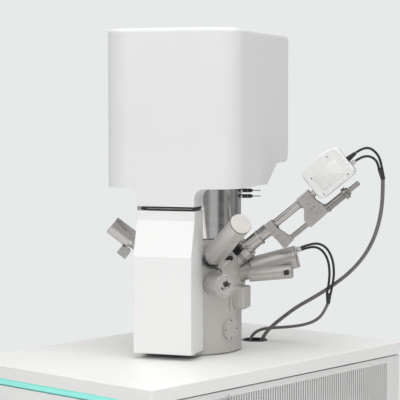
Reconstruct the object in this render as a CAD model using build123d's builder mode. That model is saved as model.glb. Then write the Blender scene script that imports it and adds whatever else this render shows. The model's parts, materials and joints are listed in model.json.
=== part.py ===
from build123d import *
from math import atan2, cos, pi, radians, sin, tan
import os

os.makedirs("parts", exist_ok=True)

# Sizes are in millimetres. The origin is on the floor under the electron beam, +Z is up and -Y is the
# console's front. Heights of the tower are above the console's deck.

# Console
DECK_LEFT, DECK_RIGHT = -331.0, 384.0
DECK_FRONT, DECK_BACK = -559.0, 503.0
DECK_TOP = 760.0
SLAB = 35.0
SLAB_CORNER = 8.0
SLAB_EDGE = 1.5
SHADOW_GAP = 4.0
PANEL = 18.0
PANEL_INSET = 3.0
PANEL_FIT = 0.5
STRIP_HEIGHT = 16.0
PLINTH_HEIGHT = 60.0
PLINTH_TIE = 120.0
PLINTH_RECESS = 45.0
PLINTH_WALL = 30.0
FLOOR_PANEL = 12.0

# Vent grille in the console's right side
GRILLE_SHEET = 4.0
GRILLE_FRAME = 17.0
GRILLE_PITCH = 10.0
SLOT = 5.0
GRILLE_REST = 60.0
BAND_START = 130.0
BAND_RISE = 0.55
BAND_WIDTH = 30.0
FILTER = 5.0
FILTER_GAP = 10.0

# Cable grommet in the deck, behind the tower
GROMMET_X, GROMMET_Y = 44.0, 240.0
GROMMET_RADIUS = 38.0
GROMMET_BORE = 30.0
GROMMET_RIM = 2.5
GROMMET_FIT = 0.3

# The tower is turned on the deck, and its own front is the direction of azimuth 0
TOWER_TURN = 23.4
BASE_GAP = 4.0
BASE_RADIUS = 140.0
CHAMBER_RADIUS = 150.0
CHAMBER_BORE = 115.0
CHAMBER_TOP = 322.0
CHAMBER_FLOOR = 34.0
CHAMBER_ROOF = 290.0
LENS_BORE = 75.0
PUMP_BORE = 42.0
PUMP_HOLE = 80.0

# Front frame, door and its guide rods
FRAME_HALF = 80.0
FRAME_FACE = 160.0
FRAME_TOP = 300.0
DOORWAY_HALF = 72.0
DOORWAY_LOW, DOORWAY_HIGH = 46.0, 284.0
DOOR_GAP = 2.0
DOOR_THICK = 22.0
DOOR_HALF = 78.5
SEAL_SECTION = 4.0
SEAL_INSET = 5.0
SEAL_GROOVE = 2.2
GUIDE_X = 60.0
GUIDE_HEIGHT = 19.0
GUIDE_RADIUS = 7.0
RUNNING = 0.05
GUIDE_REACH = 104.0
POST_RADIUS = 8.0
POST_X = 58.0
POST_LOW, POST_HIGH = 80.0, 250.0

# Front cover, hung on the door
COVER_HALF = 84.0
COVER_WALL = 3.0
COVER_LOW, COVER_TOP = 17.0, 406.0
COVER_FRONT = 230.0
COVER_BROW = 200.0
COVER_CREASE, COVER_BEND = 282.0, 380.0
COVER_EDGE = 2.5
COVER_CLEAR = 2.4

# Column and head cover
COLUMN_RADIUS = 148.0
COLUMN_WALL = 4.0
COLUMN_TOP = 560.0
HEAD_HALF = 194.0
HEAD_FRONT, HEAD_BACK = 200.0, 365.0
HEAD_LOW, HEAD_TOP = 467.0, 905.0
HEAD_CORNER = 85.0
HEAD_BACK_CORNER = 12.0
HEAD_BACK_ROUND = 22.0
HEAD_WALL = 4.0
HEAD_RISE = 522.0
HEAD_RISE_FROM, HEAD_RISE_TO = 130.0, 230.0
NECK_HALF = 82.5
NECK_LOW = 418.0
NECK_RADIUS = 26.0
COLUMN_CLEAR = 1.0
RING_WIDTH, RING_THICK = 14.0, 8.0

# Objective lens and the electron column that stands on it
NOSE_HEIGHT = 208.0
NOSE_RADIUS = 13.0
NOSE_BORE = 3.0
CONE_RADIUS = 66.0
LENS_FLANGE = 100.0
LENS_PLATE = 12.0
SEAT = 0.05

# Specimen stage, all of it carried by the door
SPECIMEN_HEIGHT = 188.0
STUB_RADIUS = 6.35
STUB_HEAD = 3.2
STUB_RING = 20.0
STUB_COUNT = 6
TABLE_RADIUS = 31.0
TABLE_THICK = 12.0
TABLE_HUB = 6.0
PLATE = 14.0
PLATE_CORNER = 12.0
SLIDE_GAP = 0.3
STAGE_LOW = 50.0
STAGE_HALF = 62.0
FORK_HALF = 50.0
FORK_ARM = 8.0
FORK_BASE = 128.0
CRADLE_HALF = 40.0
CRADLE_ARM = 6.0
CRADLE_FLOOR = 8.0
PIN_RADIUS = 5.0
MAST_FRONT, MAST_BACK = 44.0, 58.0
MAST_HALF = 30.0
MAST_RISE = 56.0
RAIL_X, RAIL = 22.0, 3.0
Y_PLATE_BACK, Y_PLATE_FRONT = 62.0, 48.0
X_PLATE_HALF, X_PLATE_FRONT = 46.0, 40.0
GUSSET_RISE, GUSSET_REACH = 60.0, 48.0
CARRIAGE_HALF, CARRIAGE_WALL, CARRIAGE_DROP = 28.0, 7.0, 14.0
FORK_FLOOR, FORK_DEPTH = 10.0, 18.0
FORK_ROOT, FORK_EYE = 15.0, 11.0
CRADLE_ROOT, CRADLE_EYE = 16.0, 9.0

# Detectors: azimuth from the tower's front, elevation, and the height their axis meets the beam
SLANT_AZIMUTH, SLANT_ELEVATION, SLANT_AIM = 41.5, 29.8, 178.0
SLANT_RADIUS = 29.0
SLANT_START, SLANT_END = 211.0, 411.0
SLANT_BOSS = 18.0
SLANT_CAP = 3.0
CAMERA_AZIMUTH, CAMERA_HEIGHT = 46.5, 200.5
CAMERA_RADIUS = 31.0
CAMERA_FACE = 214.0
CAMERA_BOSS = 34.0
LEFT_AZIMUTH, LEFT_ELEVATION, LEFT_AIM = -71.5, 38.0, 182.0
LEFT_RADIUS = 27.0
LEFT_START, LEFT_END = 211.0, 279.6
LEFT_BOSS = 19.0
LUG_START, LUG_END = 190.0, 220.0
LUG_ROOT, LUG_TIP = 24.0, 54.0
LUG_HALF, LUG_ROUND = 15.0, 8.0
SIDE_AZIMUTH, SIDE_ELEVATION, SIDE_AIM = 103.5, 15.1, 182.4
SIDE_RADIUS = 32.0
SIDE_END = 318.0
TWIN_AZIMUTH, TWIN_ELEVATION, TWIN_AIM = 93.5, 6.4, 194.3
TWIN_RADIUS = 19.0
TWIN_END = 302.0
BORE_FIT = 0.3
SLANT_SEAT, CAMERA_SEAT, LEFT_SEAT, SIDE_SEAT = 178.0, 160.0, 203.0, 158.0
SNOUT, SNOUT_TIP, SNOUT_TAPER = 9.0, 7.0, 4.0
SNOUT_REACH = 98.0
SPOT_FIT = 1.5

# X-ray detector on its slide
XRAY_AZIMUTH, XRAY_ELEVATION, XRAY_AIM = 96.5, 39.5, 153.0
XRAY_TUBE = 9.0
XRAY_TIP = 142.0
XRAY_BOSS = 30.0
XRAY_BOSS_END = 212.0
FIXED_TUBE = 19.0
FIXED_TUBE_END = 262.0
FIXED_NECK = 16.0
YOKE_START, YOKE_END = 298.0, 323.0
YOKE_HALF = 15.0
YOKE_CROWN = 18.0
CARRIAGE_START, CARRIAGE_END = 416.0, 457.0
ROD_OFFSET = 56.0
ROD_RADIUS = 7.0
ROD_END = 581.0
ROD_CLEAR = 0.3
PIN_OFFSET = -12.5
KEY_RADIUS = 2.0
HOUSING_START, HOUSING_END = 470.0, 597.0
HOUSING_UP, HOUSING_DOWN = -60.0, 30.0
HOUSING_BULGE = 12.0
HOUSING_HALF = 26.0
HOUSING_CORNER = 14.0
HOUSING_EDGE = 5.0
NUT_START = 465.5
NUT_END = 545.0
NUT_RADIUS = 17.0
SLEEVE_RADIUS = 11.0
HANDLE_RADIUS, HANDLE_ROOT, HANDLE_REACH = 3.0, 14.0, 25.0
HANDLE_BACK = 11.0

# Ports on the right side of the chamber
PAD_AZIMUTH = 90.5
PAD_BACK, PAD_FACE = 128.0, 152.0
PAD_HALF = 50.0
PAD_LOW, PAD_HIGH = 112.0, 236.0
BLOCK_HALF, BLOCK_FACE = 35.0, 173.0
BLOCK_LOW, BLOCK_HIGH = 121.0, 184.0
BLANK_AZIMUTH, BLANK_HEIGHT = 68.9, 68.0
BLANK_RADIUS = 30.0
BLANK_PCD = 49.0
BLANK_HOLE = 1.6
BLANK_PROUD = 4.0

# Sockets and plugs
SOCKET = 13.0
SOCKET_PROUD = 5.0
SOCKET_SUNK = 2.5
PLUG_HEIGHTS = (452.0, 436.0)
PLUG_AZIMUTH = 108.5
PLUG_LENGTH, PLUG_RADIUS = 33.0, 5.5
PLUG_TAIL, PLUG_TAIL_RADIUS = 23.0, 1.2
BOOT_OFFSET, BOOT_LENGTH = -14.0, 30.0
CONNECTOR_OFFSET, CONNECTOR_LENGTH = 3.0, 14.0
SIDE_PLUGS = ((-3.0, -22.0), (-17.0, -14.0))
SIDE_PLUG_LENGTH = 17.0
SLEEVE_ENTRY = 2.0

# Cords
LEAD_RADIUS = 3.5
TRUNK_RADIUS = 5.5
SIDE_CORD_RADIUS = 4.5


def direction(azimuth, elevation=0.0):
    """A unit vector from the beam axis, by azimuth from the tower's front and elevation."""
    turn = radians(azimuth + TOWER_TURN)
    rise = radians(elevation)
    return Vector(sin(turn) * cos(rise), -cos(turn) * cos(rise), sin(rise))


def axis_plane(azimuth, elevation, aim, distance=0.0):
    """A plane square to a detector's axis, at a distance from where that axis meets the beam."""
    along = direction(azimuth, elevation)
    origin = Vector(0, 0, DECK_TOP + aim) + along * distance
    return Plane(origin, x_dir=direction(azimuth - 90), z_dir=along)


def profile_plane(plane):
    """The plane through an axis in which a turned outline is drawn as radius and distance."""
    return Plane(plane.origin, x_dir=plane.x_dir, z_dir=-plane.y_dir)


def side_plane(plane):
    """The plane of an axis and its own Y, for outlines drawn as distance and offset."""
    return Plane(plane.origin, x_dir=plane.z_dir, z_dir=-plane.x_dir)


def round_bar(plane, radius, start, end, bore=0.0):
    """A round bar or tube along a plane's normal, between two distances from the plane."""
    with BuildPart() as bar:
        with BuildSketch(plane.offset(start)):
            Circle(radius)
            if bore:
                Circle(bore, mode=Mode.SUBTRACT)
        extrude(amount=end - start)
    return bar.part


def turned(plane, outline):
    """A part turned about a plane's normal from an outline of radius and distance."""
    with BuildPart() as part:
        with BuildSketch(profile_plane(plane)):
            with BuildLine():
                Polyline(*outline, close=True)
            make_face()
        revolve(axis=Axis(plane.origin, plane.z_dir))
    return part.part


def slab(plane, low_x, high_x, low_y, high_y, low_z, high_z):
    """A rectangular block given by its limits on a plane's three axes."""
    with BuildPart() as block:
        with BuildSketch(plane.offset(low_z)):
            with Locations(((low_x + high_x) / 2, (low_y + high_y) / 2)):
                Rectangle(high_x - low_x, high_y - low_y)
        extrude(amount=high_z - low_z)
    return block.part


def save(part, label):
    """Label a finished piece and write it."""
    part.label = label
    export_step(part, f"parts/{label}.step")


tower = Plane(Vector(0, 0, DECK_TOP), x_dir=direction(90), z_dir=(0, 0, 1))
tower_side = Plane(tower.origin, x_dir=direction(0), z_dir=-tower.x_dir)
tower_front = Plane(tower.origin, x_dir=tower.x_dir, z_dir=direction(0))
ground = Plane.XY

deck_plan = (DECK_LEFT, DECK_RIGHT, DECK_FRONT, DECK_BACK)
deck_centre = ((DECK_LEFT + DECK_RIGHT) / 2, (DECK_FRONT + DECK_BACK) / 2)
deck_width = DECK_RIGHT - DECK_LEFT
deck_depth = DECK_BACK - DECK_FRONT
slab_low = DECK_TOP - SLAB
panel_top = slab_low - SHADOW_GAP
grommet_plane = Plane(Vector(GROMMET_X, GROMMET_Y, DECK_TOP), z_dir=(0, 0, 1))

# Deck slab, with the hole for the pump under the tower and the hole for the cable grommet
with BuildPart() as deck_top:
    with BuildSketch(ground.offset(slab_low)):
        with Locations(deck_centre):
            RectangleRounded(deck_width, deck_depth, SLAB_CORNER)
        Circle(PUMP_HOLE, mode=Mode.SUBTRACT)
        with Locations((GROMMET_X, GROMMET_Y)):
            Circle(GROMMET_BORE + GROMMET_RIM + GROMMET_FIT, mode=Mode.SUBTRACT)
    extrude(amount=SLAB)
    top_rim = deck_top.faces().sort_by(Axis.Z)[-1].outer_wire().edges()
    chamfer(top_rim, SLAB_EDGE)
save(deck_top.part, "deck_top")

# Cable grommet: a sleeve in the deck under a thin flat ring
with BuildPart() as cable_grommet:
    sleeve = GROMMET_BORE + GROMMET_RIM
    outline = [
        (GROMMET_BORE, -SLAB),
        (sleeve, -SLAB),
        (sleeve, 0),
        (GROMMET_RADIUS, 0),
        (GROMMET_RADIUS, GROMMET_RIM * 0.4),
        (GROMMET_RADIUS - GROMMET_RIM, GROMMET_RIM),
        (GROMMET_BORE, GROMMET_RIM),
    ]
    add(turned(grommet_plane, outline))
save(cable_grommet.part, "cable_grommet")

# Plinth: a recessed frame on the floor with a tie across it under the tower
floor_top = PLINTH_HEIGHT + FLOOR_PANEL
with BuildPart() as plinth:
    with BuildSketch(ground):
        with Locations(deck_centre):
            Rectangle(deck_width - 2 * PLINTH_RECESS, deck_depth - 2 * PLINTH_RECESS)
            inner_width = deck_width - 2 * (PLINTH_RECESS + PLINTH_WALL)
            inner_depth = deck_depth - 2 * (PLINTH_RECESS + PLINTH_WALL)
            Rectangle(inner_width, inner_depth, mode=Mode.SUBTRACT)
        with Locations((deck_centre[0], 0)):
            Rectangle(inner_width, PLINTH_TIE)
    extrude(amount=PLINTH_HEIGHT)
save(plinth.part, "plinth")

with BuildPart() as console_floor:
    with BuildSketch(ground.offset(PLINTH_HEIGHT)):
        with Locations(deck_centre):
            Rectangle(deck_width - 2 * PANEL_INSET, deck_depth - 2 * PANEL_INSET)
    extrude(amount=FLOOR_PANEL)
save(console_floor.part, "console_floor")

# Panels stand on the console floor: front and back between the sides, the sides over the full depth
side_left = DECK_LEFT + PANEL_INSET
side_right = DECK_RIGHT - PANEL_INSET
panel_front = DECK_FRONT + PANEL_INSET
panel_back = DECK_BACK - PANEL_INSET
strip_low = slab_low - STRIP_HEIGHT

with BuildPart() as left_panel:
    add(slab(ground, side_left, side_left + PANEL, panel_front, panel_back, floor_top, slab_low))
save(left_panel.part, "left_panel")

inner_left = side_left + PANEL + PANEL_FIT
inner_right = side_right - PANEL - PANEL_FIT
with BuildPart() as back_panel:
    add(slab(ground, inner_left, inner_right, panel_back - PANEL, panel_back, floor_top, slab_low))
save(back_panel.part, "back_panel")

with BuildPart() as front_panel:
    front_high = strip_low - SHADOW_GAP
    add(slab(ground, inner_left, side_right, panel_front, panel_front + PANEL, floor_top, front_high))
save(front_panel.part, "front_panel")

# Light strip: a bar under the front of the slab, with a bowed diffuser
with BuildPart() as light_strip:
    with BuildSketch(Plane.YZ.offset(inner_left)):
        with BuildLine():
            front_low = (panel_front, strip_low)
            front_top = (panel_front, slab_low)
            bow = (panel_front - PANEL_INSET * 0.6, (strip_low + slab_low) / 2)
            ThreePointArc(front_low, bow, front_top)
            back_y = panel_front + PANEL
            Polyline(front_top, (back_y, slab_low), (back_y, strip_low), front_low)
        make_face()
    extrude(amount=side_right - inner_left)
save(light_strip.part, "light_strip")

# Right side: a frame of the panel's thickness carrying the slotted sheet, and a filter mat behind it
grille_low = floor_top + GRILLE_REST
grille_high = panel_top - GRILLE_FRAME
grille_front = panel_front + GRILLE_REST
grille_back = panel_back - GRILLE_REST
right_front = panel_front + PANEL + PANEL_FIT
band_top = panel_front + PANEL + BAND_START


def band_height(y):
    """Height of the lower edge of the plain diagonal band at a place along the side."""
    return grille_high - (y - band_top) * BAND_RISE


with BuildPart() as vent_panel:
    mid_y = (right_front + panel_back) / 2
    mid_z = (floor_top + panel_top) / 2
    with BuildSketch(Plane.YZ.offset(side_right - GRILLE_SHEET)):
        with Locations((mid_y, mid_z)):
            Rectangle(panel_back - right_front, panel_top - floor_top)
        count = int((grille_back - grille_front) / GRILLE_PITCH)
        for index in range(count + 1):
            y = grille_front + index * GRILLE_PITCH
            lower_end = min(grille_high, band_height(y))
            upper_start = max(grille_low, band_height(y) + BAND_WIDTH)
            for start, end in ((grille_low, lower_end), (upper_start, grille_high)):
                if end - start > 2 * SLOT:
                    with Locations((y, (start + end) / 2)):
                        Rectangle(SLOT, end - start, mode=Mode.SUBTRACT)
    extrude(amount=GRILLE_SHEET)
    rim = GRILLE_REST * 0.5
    with BuildSketch(Plane.YZ.offset(side_right - PANEL)):
        with Locations((mid_y, mid_z)):
            Rectangle(panel_back - right_front, panel_top - floor_top)
            height = panel_top - floor_top - 2 * GRILLE_FRAME
            Rectangle(panel_back - right_front - 2 * rim, height, mode=Mode.SUBTRACT)
    extrude(amount=PANEL - GRILLE_SHEET)
save(vent_panel.part, "vent_panel")

with BuildPart() as vent_filter:
    filter_x = side_right - GRILLE_SHEET - FILTER_GAP
    y_low, y_high = right_front + rim + PANEL_FIT, panel_back - rim - PANEL_FIT
    z_low, z_high = floor_top + GRILLE_FRAME + PANEL_FIT, panel_top - GRILLE_FRAME - PANEL_FIT
    add(slab(ground, filter_x, filter_x + FILTER, y_low, y_high, z_low, z_high))
save(vent_filter.part, "vent_filter")

# Base plate between the deck and the chamber, and the turbo pump that hangs under the chamber
with BuildPart() as base_plate:
    add(round_bar(tower, BASE_RADIUS, 0, BASE_GAP, bore=PUMP_HOLE))
save(base_plate.part, "base_plate")

with BuildPart() as turbo_pump:
    pump_radius = PUMP_HOLE - 6
    pump_end = BASE_GAP - 220
    outline = [
        (PUMP_BORE, BASE_GAP),
        (pump_radius, BASE_GAP),
        (pump_radius, BASE_GAP - 14),
        (pump_radius - 12, BASE_GAP - 20),
        (pump_radius - 12, pump_end + 30),
        (pump_radius - 24, pump_end),
        (0, pump_end),
        (0, BASE_GAP - 60),
        (PUMP_BORE, BASE_GAP - 60),
    ]
    add(turned(tower, outline))
save(turbo_pump.part, "turbo_pump")

slant = axis_plane(SLANT_AZIMUTH, SLANT_ELEVATION, SLANT_AIM)
camera = axis_plane(CAMERA_AZIMUTH, 0, CAMERA_HEIGHT)
left = axis_plane(LEFT_AZIMUTH, LEFT_ELEVATION, LEFT_AIM)
side = axis_plane(SIDE_AZIMUTH, SIDE_ELEVATION, SIDE_AIM)
twin = axis_plane(TWIN_AZIMUTH, TWIN_ELEVATION, TWIN_AIM)
xray = axis_plane(XRAY_AZIMUTH, XRAY_ELEVATION, XRAY_AIM)
blank = axis_plane(BLANK_AZIMUTH, 0, BLANK_HEIGHT)
pad = axis_plane(PAD_AZIMUTH, 0, 0)

# Boss radius, boss end and bore radius of each port, by its detector's axis
ports = [
    (slant, SLANT_BOSS, SLANT_SEAT, SNOUT + BORE_FIT),
    (camera, CAMERA_BOSS, CAMERA_SEAT, 2 * SNOUT + BORE_FIT),
    (left, LEFT_BOSS, LEFT_SEAT, SNOUT + BORE_FIT),
    (side, SIDE_RADIUS, SIDE_SEAT, SNOUT + BORE_FIT),
    (xray, XRAY_BOSS, XRAY_BOSS_END, XRAY_TUBE + 1.5),
]

# Chamber: one casting, with its port bosses, the pad for the side port and the frame of the doorway
with BuildPart() as chamber_body:
    add(round_bar(tower, CHAMBER_RADIUS, BASE_GAP, CHAMBER_TOP))
    frame_low = BASE_GAP + 2
    add(slab(tower, -FRAME_HALF, FRAME_HALF, -FRAME_FACE, -CHAMBER_BORE, frame_low, FRAME_TOP))
    for plane, boss, seat, bore in ports:
        add(round_bar(plane, boss, CHAMBER_BORE + 12, seat))
    with BuildSketch(pad.offset(PAD_BACK)):
        with Locations((0, -(PAD_LOW + PAD_HIGH) / 2)):
            RectangleRounded(2 * PAD_HALF, PAD_HIGH - PAD_LOW, PAD_HALF * 0.9)
    extrude(amount=PAD_FACE - PAD_BACK)
    add(round_bar(blank, BLANK_RADIUS + 2, CHAMBER_BORE + 12, CHAMBER_RADIUS))
    add(round_bar(tower, CHAMBER_BORE, CHAMBER_FLOOR, CHAMBER_ROOF), mode=Mode.SUBTRACT)
    add(round_bar(tower, LENS_BORE, CHAMBER_ROOF, CHAMBER_TOP), mode=Mode.SUBTRACT)
    add(round_bar(tower, PUMP_BORE, BASE_GAP, CHAMBER_FLOOR), mode=Mode.SUBTRACT)
    doorway = slab(tower, -DOORWAY_HALF, DOORWAY_HALF, -FRAME_FACE, 0, DOORWAY_LOW, DOORWAY_HIGH)
    add(doorway, mode=Mode.SUBTRACT)
    for plane, boss, seat, bore in ports:
        add(round_bar(plane, bore, SNOUT * 5, seat), mode=Mode.SUBTRACT)
        add(round_bar(plane, boss + SPOT_FIT, seat, seat + 4 * SNOUT), mode=Mode.SUBTRACT)
    with BuildSketch(tower_front.offset(-GUIDE_REACH - 6)):
        with Locations((-GUIDE_X, GUIDE_HEIGHT), (GUIDE_X, GUIDE_HEIGHT)):
            Circle(GUIDE_RADIUS + RUNNING)
    extrude(amount=GUIDE_REACH + 6 + FRAME_FACE, mode=Mode.SUBTRACT)
save(chamber_body.part, "chamber_body")

# Blank flange on the chamber, with its ring of four screw holes
with BuildPart() as blank_flange:
    add(round_bar(blank, BLANK_RADIUS, CHAMBER_RADIUS, CHAMBER_RADIUS + BLANK_PROUD))
    with Locations(blank.offset(CHAMBER_RADIUS + BLANK_PROUD)):
        with PolarLocations(BLANK_PCD / 2, 4):
            Hole(BLANK_HOLE, depth=BLANK_PROUD)
save(blank_flange.part, "blank_flange")

# Block on the side pad, under the twin detector
with BuildPart() as port_block:
    with BuildSketch(pad.offset(PAD_FACE)):
        with Locations((0, -(BLOCK_LOW + BLOCK_HIGH) / 2)):
            RectangleRounded(2 * BLOCK_HALF, BLOCK_HIGH - BLOCK_LOW, 9)
    extrude(amount=BLOCK_FACE - PAD_FACE)
    chamfer(port_block.faces().sort_by(Axis(pad.origin, pad.z_dir))[-1].edges(), 2)
save(port_block.part, "port_block")

# Objective lens: flange on the chamber's top, body through the roof and cone down to the nose
with BuildPart() as objective_lens:
    outline = [
        (NOSE_BORE, NOSE_HEIGHT),
        (NOSE_RADIUS, NOSE_HEIGHT),
        (CONE_RADIUS, CHAMBER_ROOF - 4),
        (LENS_BORE - SEAT, CHAMBER_ROOF),
        (LENS_BORE - SEAT, CHAMBER_TOP),
        (LENS_FLANGE, CHAMBER_TOP),
        (LENS_FLANGE, CHAMBER_TOP + LENS_PLATE),
        (NOSE_BORE, CHAMBER_TOP + LENS_PLATE),
    ]
    add(turned(tower, outline))
save(objective_lens.part, "objective_lens")

# Electron column: condenser lenses and the gun on top, turned about the beam
with BuildPart() as electron_column:
    foot = CHAMBER_TOP + LENS_PLATE
    outline = [
        (NOSE_BORE, foot),
        (96, foot),
        (96, foot + 90),
        (80, foot + 96),
        (80, foot + 190),
        (62, foot + 200),
        (62, foot + 290),
        (84, foot + 290),
        (84, foot + 320),
        (58, foot + 324),
        (58, foot + 430),
        (40, foot + 446),
        (0, foot + 446),
        (0, foot + 400),
        (NOSE_BORE, foot + 400),
    ]
    add(turned(tower, outline))
save(electron_column.part, "electron_column")

# Polished casing of the column
with BuildPart() as column_casing:
    bore = COLUMN_RADIUS - COLUMN_WALL
    add(round_bar(tower, COLUMN_RADIUS, CHAMBER_TOP, COLUMN_TOP, bore=bore))
save(column_casing.part, "column_casing")


def head_form(inset):
    """The head cover's outer form, or its hollow when it is drawn inset by the wall."""
    front, back = HEAD_FRONT - inset, -HEAD_BACK + inset
    low, rise, top = HEAD_LOW + inset, HEAD_RISE + inset, HEAD_TOP - inset
    slope = atan2(HEAD_RISE - HEAD_LOW, HEAD_RISE_TO - HEAD_RISE_FROM)
    shift = inset * tan(slope / 2)
    points = [
        (front, low),
        (-HEAD_RISE_FROM + shift, low),
        (-HEAD_RISE_TO + shift, rise),
        (back, rise),
        (back, top),
        (front, top),
    ]
    with BuildPart() as form:
        with BuildSketch(tower_side):
            with BuildLine():
                Polyline(*points, close=True)
            make_face()
        extrude(amount=HEAD_HALF - inset, both=True)
        rear = form.edges().filter_by(tower_across).sort_by(frontward)[:2]
        fillet(rear, HEAD_BACK_ROUND - inset)
        uprights = form.edges().filter_by(Axis.Z).sort_by(frontward)
        fillet(uprights[-2:], HEAD_CORNER - inset)
        fillet(form.edges().filter_by(Axis.Z).sort_by(frontward)[:2], HEAD_BACK_CORNER - inset)
    return form.part


def neck_form(inset):
    """The neck under the head cover, drawn from the front with its two hollow shoulders."""
    half, low = NECK_HALF - inset, NECK_LOW + inset
    radius = NECK_RADIUS + inset
    shoulder = HEAD_LOW - NECK_RADIUS
    top = HEAD_LOW + HEAD_WALL + inset
    with BuildPart() as form:
        with BuildSketch(tower_front.offset(COLUMN_RADIUS * 0.7)):
            with BuildLine():
                Polyline((-half, shoulder), (-half, low), (half, low), (half, shoulder))
                RadiusArc((half, shoulder), (half + radius, HEAD_LOW + inset), radius)
                RadiusArc((-half - radius, HEAD_LOW + inset), (-half, shoulder), radius)
                Polyline(
                    (half + radius, HEAD_LOW + inset),
                    (half + radius, top),
                    (-half - radius, top),
                    (-half - radius, HEAD_LOW + inset),
                )
            make_face()
        extrude(amount=HEAD_FRONT - inset - COLUMN_RADIUS * 0.7)
    return form.part


frontward = Axis(tower.origin, direction(0))
tower_across = Axis(tower.origin, tower.x_dir)

# Head cover: a shell open at the column, with the neck that comes down in front of it
with BuildPart() as head_cover:
    add(head_form(0))
    add(neck_form(0))
    add(head_form(HEAD_WALL), mode=Mode.SUBTRACT)
    add(neck_form(HEAD_WALL), mode=Mode.SUBTRACT)
    clear = COLUMN_RADIUS + COLUMN_CLEAR
    add(round_bar(tower, clear, NECK_LOW - 1, HEAD_RISE), mode=Mode.SUBTRACT)
save(head_cover.part, "head_cover")

# Clamp ring on the casing that carries the head cover's floor
with BuildPart() as head_ring:
    ring_low = HEAD_LOW + HEAD_WALL
    with BuildSketch(tower.offset(ring_low)):
        Circle(COLUMN_RADIUS + RING_WIDTH)
        Circle(COLUMN_RADIUS, mode=Mode.SUBTRACT)
        with Locations((0, HEAD_RISE_FROM - RING_WIDTH + COLUMN_RADIUS)):
            Rectangle(4 * COLUMN_RADIUS, 2 * COLUMN_RADIUS, mode=Mode.SUBTRACT)
    extrude(amount=RING_THICK)
save(head_ring.part, "head_ring")

# Dark bracket in the slot between the head cover and the front cover
with BuildPart() as slot_bracket:
    slot_mid = (COVER_TOP + NECK_LOW) / 2
    add(slab(tower, -COVER_HALF + 8, COVER_HALF - 5, -HEAD_FRONT + 9, -100, slot_mid - 3, slot_mid + 3))
    add(round_bar(tower, COLUMN_RADIUS + SEAT, COVER_TOP, NECK_LOW), mode=Mode.SUBTRACT)
save(slot_bracket.part, "slot_bracket")

# Chamber door: plate, groove for the seal and the posts that carry the front cover
door_inner = FRAME_FACE + DOOR_GAP
door_outer = door_inner + DOOR_THICK
seal_half = DOORWAY_HALF + SEAL_INSET
seal_mid = (DOORWAY_LOW + DOORWAY_HIGH) / 2
seal_height = DOORWAY_HIGH - DOORWAY_LOW
with BuildPart() as chamber_door:
    door_low, door_high = BASE_GAP + 4, FRAME_TOP
    add(slab(tower, -DOOR_HALF, DOOR_HALF, -door_outer, -door_inner, door_low, door_high))
    with BuildSketch(tower_front.offset(door_inner)):
        with Locations((0, seal_mid)):
            Rectangle(2 * DOORWAY_HALF + SEAL_SECTION, seal_height + SEAL_SECTION)
            Rectangle(2 * DOORWAY_HALF - SEAL_SECTION, seal_height - SEAL_SECTION, mode=Mode.SUBTRACT)
    extrude(amount=SEAL_GROOVE, mode=Mode.SUBTRACT)
    with BuildSketch(tower_front.offset(door_outer)):
        with GridLocations(2 * POST_X, 0, 2, 1):
            with Locations((0, POST_LOW), (0, POST_HIGH)):
                Circle(POST_RADIUS)
    extrude(amount=COVER_FRONT - COVER_WALL - door_outer)
save(chamber_door.part, "chamber_door")

# Door seal: a cord in the door's groove
with BuildPart() as door_seal:
    with BuildSketch(tower_front.offset(FRAME_FACE + BORE_FIT)):
        with Locations((0, seal_mid)):
            Rectangle(2 * DOORWAY_HALF + SEAL_SECTION, seal_height + SEAL_SECTION)
            Rectangle(2 * DOORWAY_HALF - SEAL_SECTION, seal_height - SEAL_SECTION, mode=Mode.SUBTRACT)
    extrude(amount=DOOR_GAP + SEAL_GROOVE - BORE_FIT)
save(door_seal.part, "door_seal")

# Guide rods of the door, one each side, sliding in the chamber's floor
with BuildPart() as guide_rods:
    with BuildSketch(tower_front.offset(-GUIDE_REACH)):
        with Locations((-GUIDE_X, GUIDE_HEIGHT), (GUIDE_X, GUIDE_HEIGHT)):
            Circle(GUIDE_RADIUS)
    extrude(amount=GUIDE_REACH + door_inner)
save(guide_rods.part, "guide_rods")


def cover_form(inset):
    """The front cover's outer form, or its hollow when it is drawn inset by the wall."""
    low, top = COVER_LOW + inset, COVER_TOP - inset
    front, brow = COVER_FRONT - inset, COVER_BROW - inset
    back = CHAMBER_BORE * 0.8
    with BuildPart() as form:
        with BuildSketch(tower_side):
            with BuildLine():
                Polyline(
                    (back, low),
                    (front, low),
                    (front, COVER_CREASE),
                    (brow, COVER_BEND),
                    (brow, top),
                    (back, top),
                    close=True,
                )
            make_face()
        extrude(amount=COVER_HALF - inset, both=True)
        if not inset:
            ends = form.faces().sort_by(tower_across)
            corners = ends[-1].edges() + ends[0].edges()
            front_part = corners.filter_by(lambda edge: edge.center().dot(direction(0)) > COVER_BROW - 1)
            fillet(front_part, COVER_EDGE)
    return form.part


# Front cover: a folded sheet, open at the back, with its edges following the chamber
with BuildPart() as front_cover:
    add(cover_form(0))
    add(cover_form(COVER_WALL), mode=Mode.SUBTRACT)
    clear = CHAMBER_RADIUS + COVER_CLEAR
    add(round_bar(tower, clear, COVER_LOW - 1, COVER_TOP + 1), mode=Mode.SUBTRACT)
    inner = COVER_HALF - COVER_WALL
    sill = COVER_LOW + COVER_WALL
    add(slab(tower, -inner, inner, -door_outer - PANEL_FIT, 0, COVER_LOW, sill), mode=Mode.SUBTRACT)
save(front_cover.part, "front_cover")

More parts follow.
